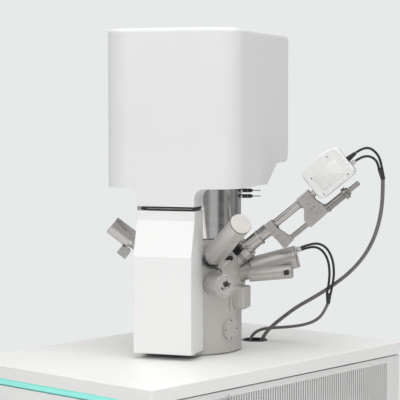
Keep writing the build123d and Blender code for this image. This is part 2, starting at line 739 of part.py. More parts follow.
# Stage base: a shelf on the door's inner face, stiffened by two gussets
base_top = STAGE_LOW + PLATE
with BuildPart() as stage_base:
    add(slab(tower, -STAGE_HALF, STAGE_HALF, -door_inner, CHAMBER_BORE - 31, STAGE_LOW, base_top))
    for x in (-STAGE_HALF, STAGE_HALF - FORK_ARM):
        with BuildSketch(Plane(tower.origin + tower.x_dir * x, x_dir=direction(0), z_dir=-tower.x_dir)):
            with BuildLine():
                reach = door_inner - GUSSET_REACH
                corner = (door_inner, base_top)
                Polyline(corner, (door_inner, base_top + GUSSET_RISE), (reach, base_top), close=True)
            make_face()
        extrude(amount=-FORK_ARM)
save(stage_base.part, "stage_base")


def slide_plate(half_x, front, back, low, groove_axis):
    """A stage plate with a V-shaped guide channel cut along one of its axes."""
    with BuildPart() as plate:
        add(slab(tower, -half_x, half_x, front, back, low, low + PLATE))
        width = PLATE * 0.8
        if groove_axis == "x":
            add(slab(tower, -half_x, half_x, -width, width, low + PLATE - 4, low + PLATE), mode=Mode.SUBTRACT)
        else:
            add(slab(tower, -width, width, front, back, low + PLATE - 4, low + PLATE), mode=Mode.SUBTRACT)
    return plate.part


# The three straight slides are stacked on the base with a running gap between them
y_low = base_top + SLIDE_GAP
x_low = y_low + PLATE + SLIDE_GAP
mast_low = x_low + PLATE
with BuildPart() as stage_y_slide:
    add(slide_plate(STAGE_HALF - 10, -Y_PLATE_FRONT, Y_PLATE_BACK, y_low, "x"))
    chamfer(stage_y_slide.edges().filter_by(Axis.Z).group_by(SortBy.LENGTH)[-1], PLATE_CORNER)
save(stage_y_slide.part, "stage_y_slide")

# The x slide carries the mast on which the z slide runs
mast_top = FORK_BASE + MAST_RISE
with BuildPart() as stage_x_slide:
    add(slide_plate(X_PLATE_HALF, -X_PLATE_FRONT, MAST_BACK, x_low, "y"))
    add(slab(tower, -MAST_HALF, MAST_HALF, MAST_FRONT, MAST_BACK, mast_low, mast_top))
    for x in (-RAIL_X, RAIL_X):
        add(slab(tower, x - RAIL, x + RAIL, MAST_FRONT - RAIL, MAST_FRONT, mast_low + 2, mast_top - 4))
save(stage_x_slide.part, "stage_x_slide")

# The z slide: a carriage on the mast and a fork that holds the tilting cradle's pins
carriage_back = MAST_FRONT - RAIL - SLIDE_GAP
carriage_front = carriage_back - CARRIAGE_WALL
fork_floor = FORK_BASE + FORK_FLOOR
with BuildPart() as stage_z_slide:
    add(slab(tower, -FORK_HALF, FORK_HALF, -FORK_DEPTH, FORK_DEPTH, FORK_BASE, fork_floor))
    add(slab(tower, -CARRIAGE_HALF, CARRIAGE_HALF, FORK_DEPTH, carriage_back, FORK_BASE, fork_floor))
    carriage_top = mast_top - CARRIAGE_DROP
    add(slab(tower, -CARRIAGE_HALF, CARRIAGE_HALF, carriage_front, carriage_back, FORK_BASE, carriage_top))
    for inner in (-FORK_HALF, FORK_HALF - FORK_ARM):
        arm = Plane(tower.origin + tower.x_dir * inner, x_dir=direction(0), z_dir=-tower.x_dir)
        with BuildSketch(arm):
            with BuildLine():
                Line((-FORK_ROOT, fork_floor), (FORK_ROOT, fork_floor))
                Line((FORK_ROOT, fork_floor), (FORK_EYE, SPECIMEN_HEIGHT))
                RadiusArc((FORK_EYE, SPECIMEN_HEIGHT), (-FORK_EYE, SPECIMEN_HEIGHT), -FORK_EYE)
                Line((-FORK_EYE, SPECIMEN_HEIGHT), (-FORK_ROOT, fork_floor))
            make_face()
            with Locations((0, SPECIMEN_HEIGHT)):
                Circle(PIN_RADIUS + RUNNING, mode=Mode.SUBTRACT)
        extrude(amount=-FORK_ARM)
save(stage_z_slide.part, "stage_z_slide")

# Tilting cradle: a bent yoke with a pin at each end, turning about the specimen's surface
cradle_floor = SPECIMEN_HEIGHT - STUB_HEAD - TABLE_THICK - TABLE_HUB
with BuildPart() as tilt_cradle:
    cradle_low = cradle_floor - CRADLE_FLOOR
    add(slab(tower, -CRADLE_HALF, CRADLE_HALF, -CRADLE_ROOT, CRADLE_ROOT, cradle_low, cradle_floor))
    for inner, outer in ((-CRADLE_HALF, -1), (CRADLE_HALF - CRADLE_ARM, 1)):
        arm = Plane(tower.origin + tower.x_dir * inner, x_dir=direction(0), z_dir=-tower.x_dir)
        with BuildSketch(arm):
            with BuildLine():
                Line((-CRADLE_ROOT, cradle_floor), (CRADLE_ROOT, cradle_floor))
                Line((CRADLE_ROOT, cradle_floor), (CRADLE_EYE, SPECIMEN_HEIGHT))
                RadiusArc((CRADLE_EYE, SPECIMEN_HEIGHT), (-CRADLE_EYE, SPECIMEN_HEIGHT), -CRADLE_EYE)
                Line((-CRADLE_EYE, SPECIMEN_HEIGHT), (-CRADLE_ROOT, cradle_floor))
            make_face()
        extrude(amount=-CRADLE_ARM)
        with BuildSketch(arm.offset(-CRADLE_ARM if outer > 0 else 0)):
            with Locations((0, SPECIMEN_HEIGHT)):
                Circle(PIN_RADIUS)
        extrude(amount=-outer * (FORK_HALF - CRADLE_HALF))
    add(round_bar(tower, TABLE_HUB + RUNNING, cradle_low, cradle_floor), mode=Mode.SUBTRACT)
save(tilt_cradle.part, "tilt_cradle")

# Rotating table: a carousel on a short shaft, with a hole for each stub's pin
table_top = SPECIMEN_HEIGHT - STUB_HEAD
stub_pin = STUB_HEAD / 2
with BuildPart() as specimen_table:
    outline = [
        (0, cradle_low + 1),
        (TABLE_HUB, cradle_low + 1),
        (TABLE_HUB, cradle_floor + SLIDE_GAP),
        (TABLE_HUB + 4, cradle_floor + SLIDE_GAP),
        (TABLE_HUB + 4, table_top - TABLE_THICK),
        (TABLE_RADIUS, table_top - TABLE_THICK),
        (TABLE_RADIUS, table_top),
        (0, table_top),
    ]
    add(turned(tower, outline))
    with BuildSketch(tower.offset(table_top)):
        Circle(stub_pin)
        with PolarLocations(STUB_RING, STUB_COUNT):
            Circle(stub_pin)
    extrude(amount=-TABLE_THICK * 0.8, mode=Mode.SUBTRACT)
save(specimen_table.part, "specimen_table")

with BuildPart() as specimen_stubs:
    with BuildSketch(tower.offset(table_top)):
        Circle(STUB_RADIUS)
        with PolarLocations(STUB_RING, STUB_COUNT):
            Circle(STUB_RADIUS)
    extrude(amount=STUB_HEAD)
    with BuildSketch(tower.offset(table_top)):
        Circle(stub_pin - SEAT)
        with PolarLocations(STUB_RING, STUB_COUNT):
            Circle(stub_pin - SEAT)
    extrude(amount=-TABLE_THICK * 0.6)
save(specimen_stubs.part, "specimen_stubs")

# Slanted detector: a plain barrel with an end cap, on a stepped neck
with BuildPart() as slanted_detector:
    body_end = SLANT_END - SLANT_CAP
    outline = [
        (0, SLANT_START),
        (SLANT_RADIUS - 4, SLANT_START),
        (SLANT_RADIUS, SLANT_START + 4),
        (SLANT_RADIUS, body_end),
        (0, body_end),
    ]
    add(turned(slant, outline))
save(slanted_detector.part, "slanted_detector")

with BuildPart() as slanted_cap:
    outline = [
        (0, SLANT_END - SLANT_CAP),
        (SLANT_RADIUS - 0.6, SLANT_END - SLANT_CAP),
        (SLANT_RADIUS - 0.6, SLANT_END - 1),
        (SLANT_RADIUS - 1.6, SLANT_END),
        (0, SLANT_END),
    ]
    add(turned(slant, outline))
save(slanted_cap.part, "slanted_cap")

with BuildPart() as slanted_mount:
    outline = [
        (0, SNOUT_REACH),
        (SNOUT_TIP, SNOUT_REACH),
        (SNOUT, SNOUT_REACH + SNOUT_TAPER),
        (SNOUT, SLANT_SEAT),
        (SLANT_BOSS, SLANT_SEAT),
        (SLANT_BOSS, SLANT_SEAT + 8),
        (12, SLANT_SEAT + 8),
        (12, SLANT_START - 10),
        (SLANT_BOSS + 2, SLANT_START - 6),
        (SLANT_BOSS + 2, SLANT_START),
        (0, SLANT_START),
    ]
    add(turned(slant, outline))
save(slanted_mount.part, "slanted_mount")

# Camera: a short drum square to the chamber, with a stepped window end
with BuildPart() as camera_detector:
    outline = [
        (0, CHAMBER_BORE - 3),
        (2 * SNOUT, CHAMBER_BORE - 3),
        (2 * SNOUT, CAMERA_SEAT),
        (CAMERA_RADIUS, CAMERA_SEAT),
        (CAMERA_RADIUS, CAMERA_FACE - 2),
        (CAMERA_RADIUS - 2, CAMERA_FACE),
        (0, CAMERA_FACE),
    ]
    add(turned(camera, outline))
save(camera_detector.part, "camera_detector")

# Square sockets on the camera's end face and on the side of the twin detector's lower barrel
with BuildPart() as detector_sockets:
    with BuildSketch(camera.offset(CAMERA_FACE)):
        with Locations(Location((0, -5, 0), (0, 0, 25))):
            RectangleRounded(SOCKET, SOCKET, 1)
    extrude(amount=SOCKET_PROUD)
    twin_side = twin.origin + twin.z_dir * (TWIN_END - SOCKET) + twin.x_dir * (TWIN_RADIUS - SOCKET_SUNK)
    with BuildSketch(Plane(twin_side, x_dir=twin.z_dir, z_dir=twin.x_dir)):
        RectangleRounded(SOCKET, SOCKET, 1)
    extrude(amount=SOCKET_SUNK + SOCKET_PROUD)
save(detector_sockets.part, "detector_sockets")

# Left detector: a brushed barrel on a short neck, with a rounded lug under it
with BuildPart() as left_mount:
    outline = [
        (0, SNOUT_REACH),
        (SNOUT_TIP, SNOUT_REACH),
        (SNOUT, SNOUT_REACH + SNOUT_TAPER),
        (SNOUT, LEFT_SEAT),
        (LEFT_BOSS, LEFT_SEAT),
        (LEFT_BOSS, LEFT_START),
        (0, LEFT_START),
    ]
    add(turned(left, outline))
    with BuildSketch(side_plane(left)) as lug:
        with BuildLine():
            under = LEFT_RADIUS + PANEL_FIT
            Polyline(
                (LEFT_SEAT, LEFT_BOSS / 2),
                (LEFT_START, LEFT_BOSS / 2),
                (LEFT_START, under),
                (LUG_END, under),
                (LUG_END, LUG_TIP),
                (LUG_START, LUG_TIP),
                (LUG_START, LUG_ROOT),
                (LEFT_SEAT, LUG_ROOT),
                close=True,
            )
        make_face()
        tips = lug.vertices().sort_by(Axis(left.origin, left.y_dir))[-2:]
        fillet(tips, LUG_ROUND)
    extrude(amount=LUG_HALF, both=True)
save(left_mount.part, "left_mount")

with BuildPart() as left_detector:
    outline = [
        (0, LEFT_START),
        (LEFT_RADIUS, LEFT_START),
        (LEFT_RADIUS, LEFT_END - 1.5),
        (LEFT_RADIUS - 1.5, LEFT_END),
        (0, LEFT_END),
    ]
    add(turned(left, outline))
save(left_detector.part, "left_detector")

# Twin detector on the right: one casting with two barrels at different slopes
with BuildPart() as side_detector:
    outline = [
        (0, SIDE_SEAT),
        (SIDE_RADIUS - 3, SIDE_SEAT),
        (SIDE_RADIUS - 3, SIDE_SEAT + 22),
        (SIDE_RADIUS, SIDE_SEAT + 30),
        (SIDE_RADIUS, SIDE_END - 3),
        (SIDE_RADIUS - 3, SIDE_END),
        (0, SIDE_END),
    ]
    add(turned(side, outline))
    outline = [
        (0, SIDE_SEAT + 22),
        (TWIN_RADIUS, SIDE_SEAT + 22),
        (TWIN_RADIUS, TWIN_END - 2),
        (TWIN_RADIUS - 2, TWIN_END),
        (0, TWIN_END),
    ]
    add(turned(twin, outline))
    add(detector_sockets.part, mode=Mode.SUBTRACT)
save(side_detector.part, "side_detector")

with BuildPart() as side_snout:
    outline = [
        (0, SNOUT_REACH),
        (SNOUT_TIP, SNOUT_REACH),
        (SNOUT, SNOUT_REACH + SNOUT_TAPER),
        (SNOUT, SIDE_SEAT),
        (0, SIDE_SEAT),
    ]
    add(turned(side, outline))
save(side_snout.part, "side_snout")

# X-ray detector: fixed tube bolted to its boss, with the yoke that holds the drive rod
with BuildPart() as fixed_tube:
    outline = [
        (XRAY_TUBE + 1.5, XRAY_BOSS_END),
        (XRAY_BOSS + 1, XRAY_BOSS_END),
        (XRAY_BOSS + 1, XRAY_BOSS_END + 7),
        (FIXED_TUBE + 3, XRAY_BOSS_END + 9),
        (FIXED_TUBE + 3, XRAY_BOSS_END + 14),
        (FIXED_TUBE, XRAY_BOSS_END + 16),
        (FIXED_TUBE, FIXED_TUBE_END),
        (FIXED_TUBE + 3, FIXED_TUBE_END),
        (FIXED_TUBE + 3, FIXED_TUBE_END + 5),
        (FIXED_NECK, FIXED_TUBE_END + 7),
        (FIXED_NECK, FIXED_TUBE_END + 16),
        (YOKE_CROWN, YOKE_START),
        (XRAY_TUBE + 1.5, YOKE_START),
    ]
    add(turned(xray, outline))
save(fixed_tube.part, "fixed_tube")


def yoke(start, end, rod_start, rod_end, tube_bore, rod_bore, key_bore):
    """A cast arm between the tube's boss and the rod's boss, bored for the tube, rod and key pin."""
    with BuildPart() as arm:
        with BuildSketch(side_plane(xray)):
            with BuildLine():
                Polyline(
                    (start, -YOKE_CROWN),
                    (end, -YOKE_CROWN),
                    (end, YOKE_CROWN),
                    (rod_end, ROD_OFFSET - 14),
                    (rod_end, ROD_OFFSET + 10),
                    (rod_start + 4, ROD_OFFSET + 13),
                    (rod_start, ROD_OFFSET + 8),
                    (rod_start, ROD_OFFSET - 14),
                    (start, YOKE_CROWN),
                    close=True,
                )
            make_face()
        extrude(amount=YOKE_HALF, both=True)
        lengthwise = arm.edges().filter_by(Axis(xray.origin, xray.z_dir))
        fillet(lengthwise, 4)
        add(round_bar(xray, tube_bore, start, end), mode=Mode.SUBTRACT)
        rod_axis = Plane(xray.origin + xray.y_dir * ROD_OFFSET, x_dir=xray.x_dir, z_dir=xray.z_dir)
        add(round_bar(rod_axis, rod_bore, rod_start, rod_end), mode=Mode.SUBTRACT)
        key_axis = Plane(xray.origin + xray.y_dir * PIN_OFFSET, x_dir=xray.x_dir, z_dir=xray.z_dir)
        add(round_bar(key_axis, key_bore, start, end), mode=Mode.SUBTRACT)
    return arm.part


with BuildPart() as lower_yoke:
    bores = (XRAY_TUBE + RUNNING, ROD_RADIUS + SEAT, KEY_RADIUS + SEAT)
    add(yoke(YOKE_START, YOKE_END, YOKE_START + 3, YOKE_END + 8, *bores))
save(lower_yoke.part, "lower_yoke")

rod_plane = Plane(xray.origin + xray.y_dir * ROD_OFFSET, x_dir=xray.x_dir, z_dir=xray.z_dir)
key_plane = Plane(xray.origin + xray.y_dir * PIN_OFFSET, x_dir=xray.x_dir, z_dir=xray.z_dir)

with BuildPart() as drive_rod:
    add(round_bar(rod_plane, ROD_RADIUS, YOKE_START + 3, ROD_END))
    chamfer(drive_rod.faces().sort_by(Axis(xray.origin, xray.z_dir))[-1].edges(), 1)
save(drive_rod.part, "drive_rod")

with BuildPart() as key_pin:
    add(round_bar(key_plane, KEY_RADIUS, YOKE_START, CARRIAGE_START + 1))
save(key_pin.part, "key_pin")

# Carriage of the X-ray detector: the tube, the upper yoke and the housing move as one
with BuildPart() as detector_tube:
    outline = [
        (0, XRAY_TIP),
        (XRAY_TUBE - 2, XRAY_TIP),
        (XRAY_TUBE, XRAY_TIP + 4),
        (XRAY_TUBE, HOUSING_START),
        (0, HOUSING_START),
    ]
    add(turned(xray, outline))
save(detector_tube.part, "detector_tube")

with BuildPart() as upper_yoke:
    bores = (XRAY_TUBE + SEAT, ROD_RADIUS + ROD_CLEAR, KEY_RADIUS + ROD_CLEAR)
    add(yoke(CARRIAGE_START, CARRIAGE_END, CARRIAGE_START - 20, NUT_START - 0.5, *bores))
save(upper_yoke.part, "upper_yoke")


def housing_half(near, far):
    """One half of the housing, between two distances across the detector's axis."""
    outer = far if abs(far) > abs(near) else near
    with BuildPart() as half:
        with BuildSketch(side_plane(xray).offset(-near)) as outline:
            with BuildLine():
                middle = (HOUSING_START + HOUSING_END) / 2
                up_near, up_far = (HOUSING_START, HOUSING_UP), (HOUSING_END, HOUSING_UP)
                Polyline(up_near, (HOUSING_START, HOUSING_DOWN), (HOUSING_END, HOUSING_DOWN), up_far)
                ThreePointArc(up_far, (middle, HOUSING_UP - HOUSING_BULGE), up_near)
            make_face()
            fillet(outline.vertices(), HOUSING_CORNER)
        extrude(amount=near - far)
        across = Axis(xray.origin, xray.x_dir)
        outer_face = half.faces().sort_by(across)[-1 if outer > 0 else 0]
        fillet(outer_face.edges(), HOUSING_EDGE)
    return half.part


# Housing of the detector's electronics, in two halves that meet on the axis
with BuildPart() as housing_front:
    add(housing_half(0, HOUSING_HALF))
save(housing_front.part, "housing_front")

with BuildPart() as housing_back:
    add(housing_half(0, -HOUSING_HALF))
save(housing_back.part, "housing_back")

# Drive nut: collar, sleeve and a wheel with two stub handles, turning on the rod
with BuildPart() as drive_nut:
    bore = ROD_RADIUS + ROD_CLEAR
    outline = [
        (bore, NUT_START),
        (SLEEVE_RADIUS + 2, NUT_START),
        (SLEEVE_RADIUS + 2, NUT_START + 7),
        (SLEEVE_RADIUS, NUT_START + 8),
        (SLEEVE_RADIUS, NUT_END - 19),
        (NUT_RADIUS, NUT_END - 17),
        (NUT_RADIUS, NUT_END - 6),
        (NUT_RADIUS - 5, NUT_END - 5),
        (NUT_RADIUS - 5, NUT_END),
        (bore, NUT_END),
    ]
    add(turned(rod_plane, outline))
    wheel = rod_plane.origin + rod_plane.z_dir * (NUT_END - HANDLE_BACK)
    handle_plane = Plane(wheel, x_dir=xray.z_dir, z_dir=xray.x_dir)
    for start, end in ((HANDLE_ROOT, HANDLE_REACH), (-HANDLE_ROOT, -HANDLE_REACH)):
        add(round_bar(handle_plane, HANDLE_RADIUS, start, end))
save(drive_nut.part, "drive_nut")

# Plugs on the column under the head cover, each with a stiff thin lead
with BuildPart() as column_plugs:
    for height in PLUG_HEIGHTS:
        plug = axis_plane(PLUG_AZIMUTH, 0, height)
        outline = [
            (0, COLUMN_RADIUS),
            (PLUG_RADIUS, COLUMN_RADIUS),
            (PLUG_RADIUS, COLUMN_RADIUS + PLUG_LENGTH - 5),
            (PLUG_RADIUS - 2, COLUMN_RADIUS + PLUG_LENGTH),
            (PLUG_TAIL_RADIUS, COLUMN_RADIUS + PLUG_LENGTH),
            (PLUG_TAIL_RADIUS, COLUMN_RADIUS + PLUG_LENGTH + PLUG_TAIL),
            (0, COLUMN_RADIUS + PLUG_LENGTH + PLUG_TAIL),
        ]
        add(turned(plug, outline))
    add(round_bar(tower, COLUMN_RADIUS, COVER_TOP, HEAD_LOW), mode=Mode.SUBTRACT)
save(column_plugs.part, "column_plugs")

# Boot and ring connector on the end of the X-ray detector's housing
boot_plane = Plane(xray.origin + xray.y_dir * BOOT_OFFSET, x_dir=xray.x_dir, z_dir=xray.z_dir)
ring_plane = Plane(xray.origin + xray.y_dir * CONNECTOR_OFFSET, x_dir=xray.x_dir, z_dir=xray.z_dir)
with BuildPart() as housing_plugs:
    outline = [
        (0, HOUSING_END),
        (2.1 * LEAD_RADIUS, HOUSING_END),
        (1.9 * LEAD_RADIUS, HOUSING_END + BOOT_LENGTH * 0.6),
        (1.2 * LEAD_RADIUS, HOUSING_END + BOOT_LENGTH),
        (0, HOUSING_END + BOOT_LENGTH),
    ]
    add(turned(boot_plane, outline))
    outline = [
        (0, HOUSING_END),
        (2 * LEAD_RADIUS, HOUSING_END),
        (2 * LEAD_RADIUS, HOUSING_END + 4),
        (1.5 * LEAD_RADIUS, HOUSING_END + 4),
        (1.2 * LEAD_RADIUS, HOUSING_END + CONNECTOR_LENGTH),
        (0, HOUSING_END + CONNECTOR_LENGTH),
    ]
    add(turned(ring_plane, outline))
save(housing_plugs.part, "housing_plugs")

# Two bare metal plugs on the end of the twin detector's upper barrel
with BuildPart() as side_plugs:
    for x, y in SIDE_PLUGS:
        plug = Plane(side.origin + side.x_dir * x + side.y_dir * y, x_dir=side.x_dir, z_dir=side.z_dir)
        outline = [
            (0, SIDE_END),
            (5, SIDE_END),
            (5, SIDE_END + 10),
            (1.2 * LEAD_RADIUS, SIDE_END + 11),
            (1.2 * LEAD_RADIUS, SIDE_END + SIDE_PLUG_LENGTH),
            (0, SIDE_END + SIDE_PLUG_LENGTH),
        ]
        add(turned(plug, outline))
        tip = plug.origin + plug.z_dir * (SIDE_END + SIDE_PLUG_LENGTH)
        print("side plug tip", tip)
save(side_plugs.part, "side_plugs")
for plane, distance in ((boot_plane, BOOT_LENGTH), (ring_plane, CONNECTOR_LENGTH)):
    print("housing plug tip", plane.origin + plane.z_dir * (HOUSING_END + distance))

# Cords, each a tube along straight runs joined by tangent arcs
upper_lead_route = [
    (412.1, 237.0, 1323.0), (425, 247, 1334), (440, 262, 1337), (453, 278, 1322), (459, 290, 1299),
    (458, 297, 1276),
]
lower_lead_route = [
    (411.0, 236.6, 1299.9), (422, 247, 1310), (436, 262, 1314), (447, 276, 1306), (452, 286, 1292),
    (452, 291, 1276),
]
trunk_route = [
    (457, 303, 1250), (451, 312, 1198), (438, 320, 1142), (415, 326, 1083), (380, 326, 1026), (334, 319, 976),
    (282, 306, 935), (228, 292, 899), (174, 277, 867), (128, 264, 831), (93, 254, 801), (66, 247, 768),
    (55, 244, 730),
]
side_upper_route = [
    (251.1, 191.6, 1050.3), (268, 214, 1060), (284, 238, 1062), (296, 260, 1047), (302, 276, 1018),
    (302, 285, 985),
    (296, 290, 948), (284, 292, 910),
]
side_lower_route = [
    (244.3, 204.2, 1042.6), (260, 223, 1051), (273, 243, 1050), (283, 261, 1036), (289, 275, 1009),
    (288, 283, 976),
    (282, 287, 943), (275, 287, 910),
]
side_cable_route = [
    (277, 291, 886), (258, 294, 852), (227, 293, 827), (184, 290, 812), (136, 283, 803), (92, 271, 798),
    (57, 255, 793), (34, 242, 777), (28, 236, 753), (28, 233, 733),
]


def cord(route, radius, label):
    """A cord's tube along its route, each arc as large as its two runs allow."""
    points = [Vector(*point) for point in route]
    radii = []
    for before, corner, after in zip(points, points[1:], points[2:]):
        run, next_run = corner - before, after - corner
        turn = radians(run.get_angle(next_run))
        radii.append(0.45 * min(run.length, next_run.length) / tan(turn / 2))
    with BuildPart() as tube:
        with BuildLine() as path:
            FilletPolyline(*points, radius=radii)
        start = Plane(points[0], z_dir=points[1] - points[0])
        with BuildSketch(start):
            Circle(radius)
        sweep()
    length = path.wires()[0].length
    expected = pi * radius * radius * length
    print(label, "radii", [round(value) for value in radii], "length", round(length),
          "volume share", round(tube.part.volume / expected, 4))
    return tube.part


cords = (
    (upper_lead_route, LEAD_RADIUS, "upper_lead"),
    (lower_lead_route, LEAD_RADIUS, "lower_lead"),
    (trunk_route, TRUNK_RADIUS, "trunk_cable"),
    (side_upper_route, LEAD_RADIUS, "side_upper_lead"),
    (side_lower_route, LEAD_RADIUS, "side_lower_lead"),
    (side_cable_route, SIDE_CORD_RADIUS, "side_cable"),
)
for route, radius, label in cords:
    save(cord(route, radius, label), label)

# Sleeves where two leads join one cable, tapering from the pair to the cable
with BuildPart() as cable_sleeves:
    for pair, cable, radius in (
        ((upper_lead_route, lower_lead_route), trunk_route, TRUNK_RADIUS),
        ((side_upper_route, side_lower_route), side_cable_route, SIDE_CORD_RADIUS),
    ):
        top = (Vector(*pair[0][-1]) + Vector(*pair[1][-1])) / 2
        foot = Vector(*cable[0])
        along = (foot - top).normalized()
        start = Plane(top - along * SLEEVE_ENTRY, z_dir=along)
        end = Plane(foot + along * SLEEVE_ENTRY, z_dir=along)
        with BuildSketch(start):
            Circle(2.4 * LEAD_RADIUS)
        with BuildSketch(end):
            Circle(radius + 1)
        loft()
save(cable_sleeves.part, "cable_sleeves")
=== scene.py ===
# %% [markdown]
# # An electron microscope on its console
# The object is a laboratory microscope: a tall covered column stands on a round specimen chamber, detectors
# point into the chamber from all sides, and the whole tower rests on a white console. The solids come from
# the part's own model, which stays as it is. This lesson gives each solid a finish that is built from
# noises, adds the small things that a maker would miss (screws, rings, plugs, seams), and lights it like
# a plain studio picture.

# %% Load the solids
import json
from math import cos, pi, radians, sin
import bmesh
import bpy
from mathutils import Matrix, Vector


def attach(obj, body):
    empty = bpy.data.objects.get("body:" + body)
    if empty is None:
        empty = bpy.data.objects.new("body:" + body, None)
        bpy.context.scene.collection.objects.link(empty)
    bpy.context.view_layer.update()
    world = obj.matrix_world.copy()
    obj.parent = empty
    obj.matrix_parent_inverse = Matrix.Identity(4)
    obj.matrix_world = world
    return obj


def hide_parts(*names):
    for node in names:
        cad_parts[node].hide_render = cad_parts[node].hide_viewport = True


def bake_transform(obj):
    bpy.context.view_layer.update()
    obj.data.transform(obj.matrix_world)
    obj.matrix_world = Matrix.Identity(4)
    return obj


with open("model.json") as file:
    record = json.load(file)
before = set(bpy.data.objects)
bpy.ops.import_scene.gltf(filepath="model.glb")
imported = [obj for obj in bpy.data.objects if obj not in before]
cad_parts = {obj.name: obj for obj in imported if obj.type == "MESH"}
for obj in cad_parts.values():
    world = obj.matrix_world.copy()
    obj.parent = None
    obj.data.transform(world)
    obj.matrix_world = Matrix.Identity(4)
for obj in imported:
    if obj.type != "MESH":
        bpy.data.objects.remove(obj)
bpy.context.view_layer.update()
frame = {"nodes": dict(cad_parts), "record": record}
nodes = frame["nodes"]

# %% [markdown]
# The tower is turned on the deck, so a place on it is given in its own directions: across, to the front and
# up from the deck. A detector has an axis of its own. Its frame has Z outwards along the axis and Y
# downwards, as in the part's model, so a screw on a barrel is placed by its distance along that axis.

# %% The tower's own directions
DECK = 0.760
TURN = radians(23.4)


def toward(azimuth, elevation=0.0):
    """The unit direction of an azimuth, counted from the tower's front to the observer's right."""
    turned, rise = radians(azimuth) + TURN, radians(elevation)
    return Vector((sin(turned) * cos(rise), -cos(turned) * cos(rise), sin(rise)))


def tower_frame(across, front, height):
    """A frame on the tower with X across, Y to the front and Z up."""
    place = Vector((0, 0, DECK + height)) + toward(90) * across + toward(0) * front
    axes = Matrix((toward(90), toward(0), Vector((0, 0, 1)))).transposed().to_4x4()
    return Matrix.Translation(place) @ axes


def axis_frame(azimuth, elevation, aim, distance):
    """A detector's frame: Z outwards along its axis, Y downwards, X level."""
    out = toward(azimuth, elevation)
    level = toward(azimuth - 90)
    down = out.cross(level)
    place = Vector((0, 0, DECK + aim)) + out * distance
    return Matrix.Translation(place) @ Matrix((level, down, out)).transposed().to_4x4()


print("tower front:", tuple(round(c, 4) for c in toward(0)))

# %% [markdown]
# The photograph looks as if it was taken with a long lens from the front right, a little above the chamber.
# The camera's place and lens were fitted to the console's visible edges, with the deck taken as 760 mm high.
# Depth of field and shift stay off.

# %% Camera
scene = bpy.context.scene
camera_data = bpy.data.cameras.new("camera")
camera_data.sensor_width = 36.0
camera_data.lens = 140.8
camera = bpy.data.objects.new("camera", camera_data)
scene.collection.objects.link(camera)
PITCH = radians(3.54)
camera.location = (2.996, -3.293, 1.460)
ahead = Vector((-0.6678 * cos(PITCH), 0.7443 * cos(PITCH), -sin(PITCH)))
camera.rotation_euler = ahead.to_track_quat("-Z", "Y").to_euler()
camera_data.clip_end = 60
scene.camera = camera
print("lens:", camera_data.lens, "mm")

# %% [markdown]
# The cords come next, because they are the only soft things here. Two short black leads leave the X-ray
# detector's housing and join in a sleeve into one grey cable, which hangs down to the grommet in the deck.
# Two more leads leave the side detector and do the same. Each is a curve of few control points, and the
# curve's own smoothness gives the sag, so nothing looks like bent wire. The thickness is set as the radius of
# each point, times a bevel of one metre, because the curve's box is drawn from its points' radii. The leads of
# the X-ray housing become plain meshes.

# %% Cord routes
def cord_curve(name, route, radius):
    """A smooth tube through a few control points, given in metres."""
    curve = bpy.data.curves.new(name, "CURVE")
    curve.dimensions = "3D"
    spline = curve.splines.new("NURBS")
    spline.points.add(len(route) - 1)
    for control, place in zip(spline.points, route):
        control.co = (*place, 1)
        control.radius = radius
    spline.order_u = 3
    spline.use_endpoint_u = True
    spline.resolution_u = 12
    curve.bevel_depth = 1
    curve.bevel_resolution = 6
    curve.use_fill_caps = True
    cable = bpy.data.objects.new(name, curve)
    scene.collection.objects.link(cable)
    return cable


def curve_line(cable):
    """The points of the line itself, read while the curve has no thickness."""
    depth = cable.data.bevel_depth
    cable.data.bevel_depth = 0
    bpy.context.view_layer.update()
    line = bpy.data.meshes.new_from_object(cable.evaluated_get(bpy.context.evaluated_depsgraph_get()))
    places = [v.co.copy() for v in line.vertices]
    cable.data.bevel_depth = depth
    return places


def as_tube(cable):
    """The curve as a plain mesh, for a lead of the X-ray housing."""
    name, curve = cable.name, cable.data
    bpy.context.view_layer.update()
    mesh = bpy.data.meshes.new_from_object(cable.evaluated_get(bpy.context.evaluated_depsgraph_get()))
    bpy.data.objects.remove(cable)
    bpy.data.curves.remove(curve)
    tube = bpy.data.objects.new(name, mesh)
    scene.collection.objects.link(tube)
    return tube


